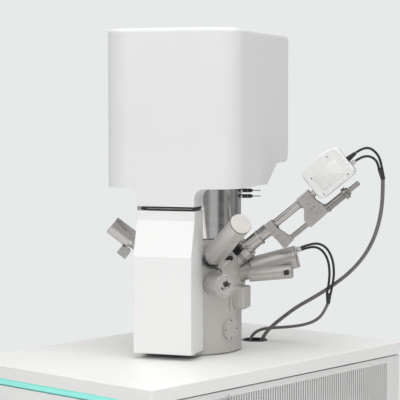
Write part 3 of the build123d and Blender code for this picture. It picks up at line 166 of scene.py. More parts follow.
routes = {
    "upper_lead": (0.0035, [
        (0.4121, 0.2370, 1.3230), (0.425, 0.247, 1.334), (0.440, 0.262, 1.337), (0.453, 0.278, 1.322),
        (0.459, 0.290, 1.299), (0.458, 0.297, 1.276)]),
    "lower_lead": (0.0035, [
        (0.4110, 0.2366, 1.2999), (0.422, 0.247, 1.310), (0.436, 0.262, 1.314), (0.447, 0.276, 1.306),
        (0.452, 0.286, 1.292), (0.452, 0.291, 1.276)]),
    "trunk_cable": (0.0055, [
        (0.457, 0.303, 1.250), (0.451, 0.312, 1.198), (0.438, 0.320, 1.142), (0.415, 0.326, 1.083),
        (0.380, 0.326, 1.026), (0.334, 0.319, 0.976), (0.282, 0.306, 0.935), (0.228, 0.292, 0.899),
        (0.174, 0.277, 0.867), (0.128, 0.264, 0.831), (0.093, 0.254, 0.801), (0.066, 0.247, 0.768),
        (0.055, 0.244, 0.730)]),
    "side_upper_lead": (0.0035, [
        (0.2511, 0.1916, 1.0503), (0.268, 0.214, 1.060), (0.284, 0.238, 1.062), (0.296, 0.260, 1.047),
        (0.302, 0.276, 1.018), (0.302, 0.285, 0.985), (0.296, 0.290, 0.948), (0.284, 0.292, 0.910)]),
    "side_lower_lead": (0.0035, [
        (0.2443, 0.2042, 1.0426), (0.260, 0.223, 1.051), (0.273, 0.243, 1.050), (0.283, 0.261, 1.036),
        (0.289, 0.275, 1.009), (0.288, 0.283, 0.976), (0.282, 0.287, 0.943), (0.275, 0.287, 0.910)]),
    "side_cable": (0.0045, [
        (0.277, 0.291, 0.886), (0.258, 0.294, 0.852), (0.227, 0.293, 0.827), (0.184, 0.290, 0.812),
        (0.136, 0.283, 0.803), (0.092, 0.271, 0.798), (0.057, 0.255, 0.793), (0.034, 0.242, 0.777),
        (0.028, 0.236, 0.753), (0.028, 0.233, 0.733)]),
}
moving_leads = ("upper_lead", "lower_lead")
cords = {}
for name, (radius, route) in routes.items():
    cable = cord_curve(name + "_line", route, radius)
    line = curve_line(cable)
    if name in moving_leads:
        cable = as_tube(cable)
        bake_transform(cable)
    else:
        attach(cable, "frame")
    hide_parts(name)
    cords[name] = cable

# %% [markdown]
# The room: a plain pale floor, and a pale backdrop that comes from the world's colour where the camera looks
# past the floor. Three large soft lamps stand in front, at the right and above, and a narrow one lifts the foot
# of the front cover, which the picture shows brightest. The world fills the rest, more overhead than at the
# sides.

# %% Floor and light
BACKDROP = (0.80, 0.82, 0.82, 1)
floor_mesh = bpy.data.meshes.new("floor")
FAR = 9
floor_mesh.from_pydata([(-FAR, -FAR, 0), (FAR, -FAR, 0), (FAR, FAR, 0), (-FAR, FAR, 0)], [], [(0, 1, 2, 3)])
floor = bpy.data.objects.new("floor", floor_mesh)
scene.collection.objects.link(floor)


def lamp(name, place, target, width, height, power):
    """A soft rectangular lamp at a place, aimed at a target."""
    data = bpy.data.lights.new(name, "AREA")
    data.shape = "RECTANGLE"
    data.size, data.size_y = width, height
    data.energy = power
    light = bpy.data.objects.new(name, data)
    light.location = place
    light.rotation_euler = (Vector(target) - Vector(place)).to_track_quat("-Z", "Y").to_euler()
    scene.collection.objects.link(light)
    return light


lamp("front_lamp", (-0.2, -4.6, 2.9), (0, 0, 1.0), 3.2, 2.4, 30)
side_lamp = lamp("side_lamp", (4.4, -0.5, 1.5), (0, 0, 1.0), 2.4, 2.4, 17)
side_lamp.visible_glossy = False
lamp("top_lamp", (1.3, -0.6, 4.2), (0.1, 0, 0.76), 3.6, 3.6, 62)

base_data = bpy.data.lights.new("base_lamp", "SPOT")
base_data.energy = 150
base_data.spot_size = radians(8.5)
base_data.spot_blend = 1.0
base_data.shadow_soft_size = 0.35
base_lamp = bpy.data.objects.new("base_lamp", base_data)
base_lamp.location = (2.3, -3.1, 2.3)
cover_foot = Vector((0.08, -0.20, 0.81))
base_lamp.rotation_euler = (cover_foot - base_lamp.location).to_track_quat("-Z", "Y").to_euler()
base_lamp.visible_glossy = False
scene.collection.objects.link(base_lamp)

# %% [markdown]
# Polished metal shows what stands round it, so the world is not one grey. Seen from the object it is a studio
# with tall bright screens and dark gaps between them, which is a colour ramp round the compass. These bands
# give the column its long vertical reflections. The camera itself sees only a pale plain colour.

# %% A studio of tall screens
world = bpy.data.worlds.new("studio")
scene.world = world
world.use_nodes = True
sky = world.node_tree
sky.nodes.clear()
sky_out = sky.nodes.new("ShaderNodeOutputWorld")
sky_light = sky.nodes.new("ShaderNodeBackground")
apart = sky.nodes.new("ShaderNodeSeparateXYZ")
overhead = sky.nodes.new("ShaderNodeMapRange")
overhead.inputs["From Min"].default_value = 0.35
overhead.inputs["From Max"].default_value = 1.0
overhead.inputs["To Min"].default_value = 0.49
overhead.inputs["To Max"].default_value = 2.0
compass = sky.nodes.new("ShaderNodeTexGradient")
compass.gradient_type = "RADIAL"
heading = sky.nodes.new("ShaderNodeTexCoord")
sky.links.new(heading.outputs["Generated"], compass.inputs["Vector"])
sky.links.new(heading.outputs["Generated"], apart.inputs["Vector"])
sky.links.new(apart.outputs["Z"], overhead.inputs["Value"])
sky.links.new(overhead.outputs["Result"], sky_light.inputs["Strength"])
screens = sky.nodes.new("ShaderNodeValToRGB")
sky.links.new(compass.outputs["Fac"], screens.inputs["Fac"])
sky.links.new(screens.outputs["Color"], sky_light.inputs["Color"])
bands = [(0.0, 0.55), (0.06, 0.75), (0.12, 0.60), (0.20, 0.95), (0.27, 0.95), (0.32, 0.55), (0.40, 0.80),
         (0.455, 0.62), (0.485, 0.50), (0.500, 1.20), (0.545, 1.20), (0.558, 0.20), (0.592, 0.22), (0.602, 0.72),
         (0.626, 0.62), (0.632, 1.25), (0.640, 0.50), (0.700, 0.62), (0.722, 0.30), (0.735, 0.30), (0.750, 0.68),
         (0.86, 0.62), (0.93, 0.85)]
ramp = screens.color_ramp
ramp.elements[0].position, ramp.elements[1].position = bands[0][0], bands[-1][0]
for place, level in bands[1:-1]:
    ramp.elements.new(place)
for stop, (place, level) in zip(ramp.elements, bands):
    stop.position = place
    stop.color = (level, level, level * 0.985, 1)
sky_seen = sky.nodes.new("ShaderNodeBackground")
sky_seen.inputs["Color"].default_value = BACKDROP
sky_seen.inputs["Strength"].default_value = 1.0
sky_path = sky.nodes.new("ShaderNodeLightPath")
sky_mix = sky.nodes.new("ShaderNodeMixShader")
sky.links.new(sky_path.outputs["Is Camera Ray"], sky_mix.inputs[0])
sky.links.new(sky_light.outputs[0], sky_mix.inputs[1])
sky.links.new(sky_seen.outputs[0], sky_mix.inputs[2])
sky.links.new(sky_mix.outputs[0], sky_out.inputs["Surface"])
scene.view_settings.view_transform = "Standard"

# %% [markdown]
# A finish is never one flat colour. Even new enamel is a little uneven: its gloss wanders, a fine orange
# peel breaks up reflections, and handling leaves faint marks. The helper below builds that for any finish
# from three noises on the piece's own coordinates: a broad one for the colour, a middle one for the gloss
# and a fine one for the bump. What differs from finish to finish is how strong and how stretched they are.

# %% A finish from three noises
def link(tree, a, b):
    """Joins an output socket to an input socket."""
    tree.links.new(a, b)


def noise(tree, scale, detail, stretch):
    """A noise on the piece's own coordinates, stretched."""
    place = tree.nodes.new("ShaderNodeTexCoord")
    mapping = tree.nodes.new("ShaderNodeMapping")
    mapping.inputs["Scale"].default_value = stretch
    texture = tree.nodes.new("ShaderNodeTexNoise")
    texture.inputs["Scale"].default_value = scale
    texture.inputs["Detail"].default_value = detail
    link(tree, place.outputs["Object"], mapping.inputs["Vector"])
    link(tree, mapping.outputs["Vector"], texture.inputs["Vector"])
    return texture.outputs["Fac"]


def spread(tree, value, low, high):
    """Maps a noise, which stays near its middle, to a range."""
    node = tree.nodes.new("ShaderNodeMapRange")
    node.inputs["From Min"].default_value = 0.3
    node.inputs["From Max"].default_value = 0.7
    node.inputs["To Min"].default_value = low
    node.inputs["To Max"].default_value = high
    link(tree, value, node.inputs["Value"])
    return node.outputs["Result"]


def between(tree, factor, first, second):
    """A colour between two, by a factor."""
    node = tree.nodes.new("ShaderNodeMix")
    node.data_type = "RGBA"
    node.inputs["A"].default_value = (*first, 1)
    node.inputs["B"].default_value = (*second, 1)
    link(tree, factor, node.inputs["Factor"])
    return node.outputs["Result"]


def shade(colour, amount):
    """The colour made lighter or darker by a share."""
    return tuple(min(1.0, max(0.0, c * (1 + amount))) for c in colour)


def finish(name, colour, rough, metal=0.0, mottle=0.04, gloss=0.06, peel=0.0002, broad=6.0, fine=900.0,
           stretch=(1, 1, 1)):
    """A material with wandering colour and gloss and a fine bump."""
    material = bpy.data.materials.new(name)
    material.use_nodes = True
    tree = material.node_tree
    shader = tree.nodes["Principled BSDF"]
    shader.inputs["Metallic"].default_value = metal
    tone = spread(tree, noise(tree, broad, 4.0, stretch), 0, 1)
    link(tree, between(tree, tone, shade(colour, -mottle), shade(colour, mottle)), shader.inputs["Base Color"])
    shine = spread(tree, noise(tree, broad * 5, 5.0, stretch), rough - gloss, rough + gloss)
    link(tree, shine, shader.inputs["Roughness"])
    bump = tree.nodes.new("ShaderNodeBump")
    bump.inputs["Distance"].default_value = peel
    link(tree, noise(tree, fine, 2.0, stretch), bump.inputs["Height"])
    link(tree, bump.outputs["Normal"], shader.inputs["Normal"])
    return material


def linear(red, green, blue):
    """A colour as seen on a screen, 0 to 255, as the linear values that a shader takes."""
    seen = [c / 255 for c in (red, green, blue)]
    return tuple(c / 12.92 if c <= 0.04 else ((c + 0.055) / 1.055) ** 2.4 for c in seen)


# %% [markdown]
# The paints. The console and the covers are powder coated in close whites, with a fine orange peel. The
# chamber is a warm grey with some metal in it, and the detectors' barrels have more.

# %% Paints and plastics
paints_made = {
    "console_white": ((229, 229, 228), 0.42, dict(mottle=0.012, peel=0.00012, fine=420)),
    "vent_white": ((217, 217, 216), 0.45, dict(mottle=0.015, peel=0.00012, fine=420)),
    "cover_white": ((226, 227, 227), 0.40, dict(mottle=0.012, peel=0.0001, fine=380)),
    "front_white": ((231, 231, 231), 0.38, dict(mottle=0.01, peel=0.0001, fine=380)),
    "housing_white": ((226, 226, 225), 0.42, dict(mottle=0.012, peel=0.000015, fine=400)),
    "plinth_dark": ((92, 94, 96), 0.6, dict(mottle=0.08, fine=300)),
    "chamber_grey": ((192, 189, 185), 0.40, dict(metal=0.35, mottle=0.02, peel=0.00003, fine=520)),
    "detector_grey": ((200, 196, 193), 0.29, dict(metal=0.85, mottle=0.02, gloss=0.03, peel=0.000004,
                                                  fine=400)),
    "detector_dark": ((184, 180, 177), 0.34, dict(metal=0.5, mottle=0.02, gloss=0.03, peel=0.000004,
                                                  fine=400)),
    "grommet_black": ((44, 44, 46), 0.55, dict(mottle=0.15, fine=1200)),
    "socket_black": ((42, 42, 44), 0.45, dict(mottle=0.12, fine=1500)),
    "filter_grey": ((96, 97, 97), 0.9, dict(mottle=0.35, peel=0.002, broad=90, fine=420)),
    "seal_rubber": ((30, 30, 31), 0.62, dict(mottle=0.15, fine=1500)),
    "lead_black": ((34, 35, 36), 0.48, dict(mottle=0.18, broad=30, fine=1600)),
    "cable_grey": ((110, 107, 105), 0.46, dict(mottle=0.08, peel=0.00001, broad=20, fine=900)),
    "black_anodised": ((50, 50, 52), 0.38, dict(metal=0.6, mottle=0.1, broad=40, fine=1800)),
}
paints = {name: finish(name, linear(*colour), rough, **rest)
          for name, (colour, rough, rest) in paints_made.items()}
print("paints:", len(paints))

# %% [markdown]
# The metals. Turned and machined parts carry fine tool marks, which is a noise stretched round or along the
# piece; the polished casing of the column carries them round the tower's own axis.

# %% Metals
metals_made = {
    "machined": ((196, 196, 195), 0.34, dict(metal=1, mottle=0.06, peel=0.000006, broad=14, fine=500,
                                             stretch=(1, 1, 14))),
    "flange_steel": ((206, 206, 205), 0.30, dict(metal=1, mottle=0.05, peel=0.000005, broad=30,
                                                 fine=700, stretch=(1, 1, 9))),
    "iron_lens": ((128, 128, 130), 0.42, dict(metal=1, mottle=0.12, broad=20, fine=500, stretch=(1, 1, 10))),
    "column_metal": ((206, 206, 206), 0.14, dict(metal=1, mottle=0.02, gloss=0.03, peel=0.00001,
                                                 broad=5, fine=240, stretch=(0.4, 0.4, 12))),
    "rod_steel": ((158, 154, 151), 0.30, dict(metal=1, mottle=0.03, gloss=0.02, peel=0.000002, broad=60,
                                              fine=600)),
    "stage_metal": ((178, 179, 181), 0.36, dict(metal=1, mottle=0.07, broad=30, fine=700,
                                                stretch=(8, 1, 1))),
    "stub_metal": ((212, 212, 212), 0.26, dict(metal=1, mottle=0.05, broad=60, fine=1200)),
    "cap_light": ((190, 186, 183), 0.40, dict(metal=0.25, mottle=0.03, broad=40, fine=900)),
    "tube_steel": ((190, 186, 183), 0.32, dict(metal=0.9, mottle=0.03, gloss=0.02, peel=0.000002,
                                               broad=50, fine=600)),
    "nut_steel": ((146, 143, 140), 0.34, dict(metal=0.9, mottle=0.05, gloss=0.03, peel=0.000003,
                                              broad=60, fine=600)),
    "yoke_metal": ((184, 179, 177), 0.40, dict(metal=0.6, mottle=0.03, gloss=0.04, peel=0.000004,
                                               broad=30, fine=500)),
    "plug_metal": ((205, 205, 204), 0.22, dict(metal=1, mottle=0.06, broad=80, fine=1500)),
}
metals = {name: finish(name, linear(*colour), rough, **rest)
          for name, (colour, rough, rest) in metals_made.items()}
strip = finish("light_strip", linear(140, 222, 211), 0.35, mottle=0.03, broad=8, fine=600)
strip_shader = strip.node_tree.nodes["Principled BSDF"]
strip_shader.inputs["Emission Color"].default_value = (*linear(150, 245, 235), 1)
strip_shader.inputs["Emission Strength"].default_value = 0.20
finishes = {**paints, **metals, "light_strip": strip}


def dress(piece, slot):
    """Gives a piece its finish and names the record's slot."""
    piece.data.materials.clear()
    piece.data.materials.append(finishes[slot])


slots = {part["node"]: part["material_slot"] for part in frame["record"]["subparts"]}
for name, node in nodes.items():
    if name not in cords:
        dress(node, slots[name] if slots[name] in finishes else "nut_steel")
for name, cable in cords.items():
    dress(cable, slots[name])
floor_finish = finish("floor_finish", linear(226, 227, 227), 0.7, mottle=0.008, broad=1.5, fine=60)
floor_tree = floor_finish.node_tree
floor_shader = floor_tree.nodes["Principled BSDF"]
glow = floor_tree.nodes.new("ShaderNodeEmission")
glow.inputs["Color"].default_value = BACKDROP
both = floor_tree.nodes.new("ShaderNodeMixShader")
seen = floor_tree.nodes.new("ShaderNodeLightPath")
spot = floor_tree.nodes.new("ShaderNodeTexCoord")
away = floor_tree.nodes.new("ShaderNodeVectorMath")
away.operation = "LENGTH"
far = floor_tree.nodes.new("ShaderNodeMapRange")
far.inputs["From Min"].default_value = 0.8
far.inputs["From Max"].default_value = 3.6
far.inputs["To Min"].default_value = 0.40
far.inputs["To Max"].default_value = 1.0
share = floor_tree.nodes.new("ShaderNodeMath")
share.operation = "MULTIPLY"
link(floor_tree, spot.outputs["Object"], away.inputs[0])
link(floor_tree, away.outputs["Value"], far.inputs["Value"])
link(floor_tree, seen.outputs["Is Camera Ray"], share.inputs[0])
link(floor_tree, far.outputs["Result"], share.inputs[1])
link(floor_tree, share.outputs["Value"], both.inputs[0])
link(floor_tree, floor_shader.outputs["BSDF"], both.inputs[1])
link(floor_tree, glow.outputs["Emission"], both.inputs[2])
link(floor_tree, both.outputs["Shader"], floor_tree.nodes["Material Output"].inputs["Surface"])
floor.data.materials.append(floor_finish)
print("finished nodes:", len(nodes))

# %% [markdown]
# The helpers for small parts. Most of them are turned: an outline of radius and distance is spun round an
# axis, with Blender's own spin on a closed outline, so the result is a closed solid. Flat parts are a
# rounded outline that is pulled up to a plate and gets a fine bevel.

# %% Turned and flat parts
SHARP_ABOVE = 40  # degrees between two faces of a made part
SHARP_COPIES = 35  # the same for repeated parts


def piece_from(name, form, place, body, slot):
    """A finished object from a bmesh drawn in its own frame, put in place and set to ride on a body."""
    bmesh.ops.remove_doubles(form, verts=form.verts, dist=1e-6)
    bmesh.ops.transform(form, matrix=place, verts=form.verts)
    bmesh.ops.recalc_face_normals(form, faces=form.faces)
    mesh = bpy.data.meshes.new(name)
    form.to_mesh(mesh)
    form.free()
    for face in mesh.polygons:
        face.use_smooth = True
    mesh.set_sharp_from_angle(angle=radians(SHARP_ABOVE))
    part = bpy.data.objects.new(name, mesh)
    scene.collection.objects.link(part)
    dress(part, slot)
    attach(part, body)
    return part


def turned_form(form, outline, steps):
    """Spins an outline of (radius, distance) pairs round Z and adds it to the form."""
    loop = [form.verts.new((r, 0, d)) for r, d in outline]
    closed = outline[0][0] > 1e-7 and outline[-1][0] > 1e-7
    ends = zip(loop, loop[1:] + loop[:1] if closed else loop[1:])
    edges = [form.edges.new(pair) for pair in ends]
    bmesh.ops.spin(form, geom=loop + edges, cent=(0, 0, 0), axis=(0, 0, 1), angle=2 * pi, steps=steps)


def collar(inner, outer, reach, broken):
    """The outline of a ring whose two outer edges are broken."""
    return [(inner, 0), (outer - broken, 0), (outer, broken), (outer, reach - broken), (outer - broken, reach),
            (inner, reach)]


def turned_piece(name, outline, place, body, slot, steps=48):
    """One turned part."""
    form = bmesh.new()
    turned_form(form, outline, steps)
    return piece_from(name, form, place, body, slot)


def plate_form(form, half_x, half_y, low, high, corner=0.0, edge=0.0):
    """A plate with rounded corners and a fine bevel, added to the form."""
    corners = []
    for cx, cy, start in ((1, 1, 0), (-1, 1, 90), (-1, -1, 180), (1, -1, 270)):
        turns = 6 if corner > 0 else 1
        for step in range(turns):
            angle = radians(start + (90 * step / (turns - 1) if turns > 1 else 0))
            x, y = cx * (half_x - corner), cy * (half_y - corner)
            corners.append((x + corner * cos(angle), y + corner * sin(angle)))
    base = [form.verts.new((x, y, low)) for x, y in corners]
    top = [form.verts.new((x, y, high)) for x, y in corners]
    faces = [form.faces.new(base[::-1]), form.faces.new(top)]
    for a, b, c, d in zip(base, base[1:] + base[:1], top[1:] + top[:1], top):
        faces.append(form.faces.new((a, b, c, d)))
    if edge > 0:
        rims = list({e for face in faces[:2] for e in face.edges})
        bmesh.ops.bevel(form, geom=rims, offset=edge, segments=2, affect="EDGES", profile=0.5)


def plate_piece(name, half_x, half_y, low, high, place, body, slot, corner=0.0, edge=0.0):
    """One plate."""
    form = bmesh.new()
    plate_form(form, half_x, half_y, low, high, corner, edge)
    return piece_from(name, form, place, body, slot)


# %% [markdown]
# Screws repeat all over the instrument, so Geometry Nodes set them out. The tree takes one screw head, made
# once in bmesh with its hexagon socket, and puts a copy on each point of a ring or a row. The points, the head,
# its size and the most that it may be turned are inputs of the tree. The result is made a plain mesh at once.

# %% One screw head, and the tree that repeats it
def screw_head(name, radius, height, slot):
    """A cap screw's head with a hexagon socket, standing on Z = 0."""
    form = bmesh.new()
    rings = [(radius, 0), (radius, height * 0.86), (radius * 0.9, height), (radius * 0.58, height)]
    loops = []
    for size, level in rings:
        loops.append([form.verts.new((size * cos(pi * k / 12), size * sin(pi * k / 12), level))
                      for k in range(24)])
    hexagon = []
    for level in (height, height * 0.35):
        ring = []
        for k in range(24):
            corner = pi * k / 12
            reach = radius * 0.52 * cos(pi / 6) / cos((corner % (pi / 3)) - pi / 6)
            ring.append(form.verts.new((reach * cos(corner), reach * sin(corner), level)))
        hexagon.append(ring)
    loops += hexagon
    for lower, upper in zip(loops, loops[1:]):
        for a, b, c, d in zip(lower, lower[1:] + lower[:1], upper[1:] + upper[:1], upper):
            form.faces.new((a, b, c, d))
    form.faces.new(loops[0][::-1])
    form.faces.new(loops[-1])
    bmesh.ops.recalc_face_normals(form, faces=form.faces)
    mesh = bpy.data.meshes.new(name)
    form.to_mesh(mesh)
    form.free()
    mesh.materials.append(finishes[slot])
    return bpy.data.objects.new(name, mesh)


def repeat_tree(name, finish_slot):
    """Geometry Nodes: copies of one head on the points of a mesh, made real, with their finish."""
    tree = bpy.data.node_groups.new(name, "GeometryNodeTree")
    tree.interface.new_socket("Points", in_out="INPUT", socket_type="NodeSocketGeometry")
    head = tree.interface.new_socket("Head", in_out="INPUT", socket_type="NodeSocketObject")
    size = tree.interface.new_socket("Size", in_out="INPUT", socket_type="NodeSocketFloat")
    most = tree.interface.new_socket("Most turn", in_out="INPUT", socket_type="NodeSocketVector")
    tree.interface.new_socket("Result", in_out="OUTPUT", socket_type="NodeSocketGeometry")
    size.default_value = 1.0
    inlet, outlet = tree.nodes.new("NodeGroupInput"), tree.nodes.new("NodeGroupOutput")
    fetch = tree.nodes.new("GeometryNodeObjectInfo")
    set_out = tree.nodes.new("GeometryNodeInstanceOnPoints")
    turn = tree.nodes.new("FunctionNodeRandomValue")
    turn.data_type = "FLOAT_VECTOR"
    turn.inputs["Min"].default_value = (0, 0, 0)
    link(tree, inlet.outputs["Most turn"], turn.inputs["Max"])
    turn.inputs["Seed"].default_value = 7
    real = tree.nodes.new("GeometryNodeRealizeInstances")
    coat = tree.nodes.new("GeometryNodeSetMaterial")
    coat.inputs["Material"].default_value = finishes[finish_slot]
    link(tree, inlet.outputs["Points"], set_out.inputs["Points"])
    link(tree, inlet.outputs["Head"], fetch.inputs["Object"])
    link(tree, fetch.outputs["Geometry"], set_out.inputs["Instance"])
    link(tree, turn.outputs["Value"], set_out.inputs["Rotation"])
    link(tree, inlet.outputs["Size"], set_out.inputs["Scale"])
    link(tree, set_out.outputs["Instances"], real.inputs["Geometry"])
    link(tree, real.outputs["Geometry"], coat.inputs["Geometry"])
    link(tree, coat.outputs["Geometry"], outlet.inputs["Result"])
    return tree, head.identifier, size.identifier, most.identifier


head_objects = {
    "plug_metal": screw_head("bright_head", 0.0022, 0.0018, "plug_metal"),
    "black_anodised": screw_head("dark_head", 0.0022, 0.0018, "black_anodised"),
    "flange_steel": screw_head("steel_head", 0.0022, 0.0018, "flange_steel"),
    "iron_lens": screw_head("grey_head", 0.0022, 0.0018, "iron_lens"),
}
repeat_trees = {}
SCREW_TURN = 1.05  # radians, about the sixth of a turn after which a hexagon repeats


def repeated(name, model, places, frame_at, body, slot, size=1.0, most_turn=0.0):
    """Copies of a model at places (x, y, z) of a frame, standing along its Z, as one plain mesh."""
    if slot not in repeat_trees:
        repeat_trees[slot] = repeat_tree("copies_" + slot, slot)
    points = bpy.data.meshes.new(name)
    points.from_pydata([Vector(place) for place in places], [], [])
    carrier = bpy.data.objects.new(name + "_points", points)
    scene.collection.objects.link(carrier)
    tree, head_input, size_input, turn_input = repeat_trees[slot]
    modifier = carrier.modifiers.new("repeat", "NODES")
    modifier.node_group = tree
    modifier[head_input] = model
    modifier[size_input] = size
    modifier[turn_input] = (0.0, 0.0, most_turn)
    bpy.context.view_layer.update()
    mesh = bpy.data.meshes.new_from_object(carrier.evaluated_get(bpy.context.evaluated_depsgraph_get()))
    bpy.data.objects.remove(carrier)
    mesh.transform(frame_at)
    mesh.set_sharp_from_angle(angle=radians(SHARP_COPIES))
    part = bpy.data.objects.new(name, mesh)
    scene.collection.objects.link(part)
    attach(part, body)
    return part


def screws(name, places, frame_at, body, slot="plug_metal", size=1.0):
    """Screw heads at places (x, y, z) of a frame, standing along its Z."""
    return repeated(name, head_objects[slot], places, frame_at, body, slot, size, SCREW_TURN)


def ring_places(count, radius, start=0.0, level=0.0):
    """Places round a ring."""
    angles = [radians(start) + 2 * pi * k / count for k in range(count)]
    return [(radius * cos(angle), radius * sin(angle), level) for angle in angles]


# %% [markdown]
# The axes of the detectors, as the part's model has them. Everything that is placed on a detector uses one
# of these frames, so it stays where the solid is.

# %% The detectors' axes
def slanted(distance):
    """The slanted detector's axis."""
    return axis_frame(41.5, 29.8, 0.178, distance)


def eyepiece(distance):
    """The camera's axis."""
    return axis_frame(46.5, 0.0, 0.2005, distance)


def side_axis(distance):
    """The upper of the twin barrels."""
    return axis_frame(103.5, 15.1, 0.1824, distance)


def twin_axis(distance):
    """The lower of the twin barrels."""
    return axis_frame(93.5, 6.4, 0.1943, distance)


def xray_axis(distance):
    """The X-ray detector's axis."""
    return axis_frame(96.5, 39.5, 0.153, distance)


def blank_axis(distance):
    """The axis of the blanking plate."""
    return axis_frame(68.9, 0.0, 0.068, distance)


def pad_axis(distance):
    """The axis of the side port's block."""
    return axis_frame(90.5, 0.0, 0.0, distance)


print("slanted detector's end:", tuple(round(c, 3) for c in slanted(0.411).translation))

# %% [markdown]
# The slanted detector is a plain barrel. Its light end cap has a shadow line behind it, painted as a thin black
# ring on the seam, and low on the barrel are a slightly darker ring and a small bright set screw.

# %% Slanted detector
# A thin black ring on the end cap's seam: painted shadow line behind the cap.
turned_piece("slanted_seam", [(0.0288, -0.0006), (0.0293, -0.0006), (0.0293, 0.0006), (0.0288, 0.0006)],
             slanted(0.4076), "frame", "socket_black", 64)
turned_piece("slanted_ring", [(0.0286, -0.004), (0.0294, -0.0036), (0.0294, 0.0036), (0.0286, 0.004)],
             slanted(0.222), "frame", "detector_dark", 64)
round_barrel = slanted(0.243) @ Matrix.Rotation(radians(62), 4, "Z")
set_screw = round_barrel @ Matrix.Translation((0, 0.0287, 0)) @ Matrix.Rotation(radians(-90), 4, "X")
screws("slanted_set_screw", [(0, 0, 0)], set_screw, "frame", size=1.1)
print("slanted detector done")

# %% [markdown]
# The eyepiece-like camera looks into the chamber beside the cover. In its face there is a square black
# socket, set at an angle, with five small connectors round it, and the face stands in a fine step.

# %% Camera's face
face = eyepiece(0.214)
turned_piece("camera_disc", [(0, -0.0005), (0.0252, -0.0005), (0.0252, 0.0009), (0.0248, 0.0013), (0, 0.0013)],
             face, "frame", "cap_light", 64)
turned_piece("camera_edge", [(0.0258, -0.0003), (0.0308, -0.0003), (0.0308, 0.0002), (0.0299, 0.0010),
                             (0.0262, 0.0010), (0.0258, 0.0006)], face, "frame", "detector_grey", 64)
tilt = Matrix.Rotation(radians(24), 4, "Z")
socket_place = face @ Matrix.Translation((-0.0006, -0.0048, 0.0013)) @ tilt
plate_piece("camera_bezel", 0.0088, 0.0084, -0.0004, 0.0008, socket_place, "frame", "tube_steel", 0.001, 0.0003)
plate_piece("camera_socket", 0.0072, 0.0070, -0.0002, 0.0014, socket_place, "frame", "socket_black", 0.0006, 0.0003)
for index, (x, y, size, slot_name) in enumerate((
        (0.0135, 0.0035, 0.0030, "stub_metal"), (0.0112, 0.0072, 0.0028, "socket_black"),
        (0.0022, 0.0088, 0.0024, "plug_metal"), (-0.0098, 0.0020, 0.0026, "plug_metal"),
        (-0.0128, -0.0046, 0.0024, "socket_black"))):
    turned_piece("camera_connector_%d" % index,
                 [(0, 0.0010), (size * 0.45, 0.0010), (size * 0.45, 0.0036), (size * 0.7, 0.0036),
                  (size * 0.7, 0.0020), (size, 0.0020), (size, -0.0004), (0, -0.0004)],
                 face @ Matrix.Translation((x, y, 0.0013)), "frame", slot_name, 24)
screws("camera_screws", ring_places(3, 0.0215, 20, 0.0013), face, "frame", size=0.6)

# %% [markdown]
# The X-ray detector's fixed tube leaves its flange through a ring of bright bolts on a black seat, with a steel
# clamp below them, a ring above them and two thin dark lines along the tube's upper side.

# %% X-ray detector's flange
turned_piece("xray_clamp", collar(0.0302, 0.0340, 0.009, 0.0004), xray_axis(0.1890), "frame", "nut_steel", 64)
screws("xray_clamp_screws", ring_places(8, 0.0321, 10, 0.009), xray_axis(0.1890), "frame", size=0.7)
bolt = screw_head("flange_bolt", 0.0031, 0.0052, "plug_metal")
turned_piece("xray_flange_seat", [(0.0212, 0), (0.0296, 0), (0.0300, 0.0004), (0.0296, 0.0008), (0.0212, 0.0008)],
             xray_axis(0.2188), "frame", "black_anodised", 64)
repeated("xray_flange_bolts", bolt, ring_places(8, 0.0256, 22, 0.0008), xray_axis(0.2188), "frame",
         "plug_metal", 1.15, SCREW_TURN)
# A black ring in the gap between the tube and the flange's seat: painted shade between the parts.
turned_piece("xray_gap", [(0.0190, 0), (0.0199, 0), (0.0199, 0.004), (0.0190, 0.004)], xray_axis(0.2175),
             "frame", "socket_black", 64)
turned_piece("xray_ring", collar(0.0190, 0.0212, 0.007, 0.0003), xray_axis(0.2245), "frame", "tube_steel", 64)
lines = ((0.012, -0.0166, 0.0765), (-0.004, -0.0201, 0.0735))
for index, (x, y, reach) in enumerate(lines):
    turned_piece("xray_line_%d" % index, [(0, 0), (0.0010, 0), (0.0010, reach), (0, reach)],
                 xray_axis(0.2225) @ Matrix.Translation((x, y, 0)), "frame", "socket_black", 16)
print("x-ray flange done")

# %% [markdown]
# The port that the slanted detector stands in: a grey ring with its screws and a black gap, which is painted
# shade in the recess round the barrel, and a bright collar above it. Beside it a small valve is worked by a thin
# bright rod, with a short cross handle.

# %% Slanted detector's port and the small valve
turned_piece("slanted_port", collar(0.0182, 0.0268, 0.0064, 0.0006), slanted(0.1782), "frame", "iron_lens", 64)
# A black ring in the port's gap: painted shade in the recess round the barrel.
turned_piece("slanted_port_gap", [(0.0150, 0), (0.0181, 0), (0.0181, 0.0068), (0.0176, 0.0072), (0.0150, 0.0072)],
             slanted(0.1782), "frame", "socket_black", 64)
screws("slanted_port_screws", ring_places(6, 0.0222, 15, 0.0064), slanted(0.1782), "frame", size=1.0)
turned_piece("slanted_collar", collar(0.0182, 0.0230, 0.006, 0.0004), slanted(0.196), "frame", "plug_metal", 64)


def rod_between(name, start, end, radius, body, slot_name):
    """A thin rod between two places given as (across, front, height) on the tower."""
    a, b = tower_frame(*start).translation, tower_frame(*end).translation
    lie = (b - a).to_track_quat("Z", "Y").to_matrix().to_4x4()
    reach = (b - a).length
    return turned_piece(name, collar(0, radius, reach, radius * 0.2), Matrix.Translation(a) @ lie, body,
                        slot_name, 20)


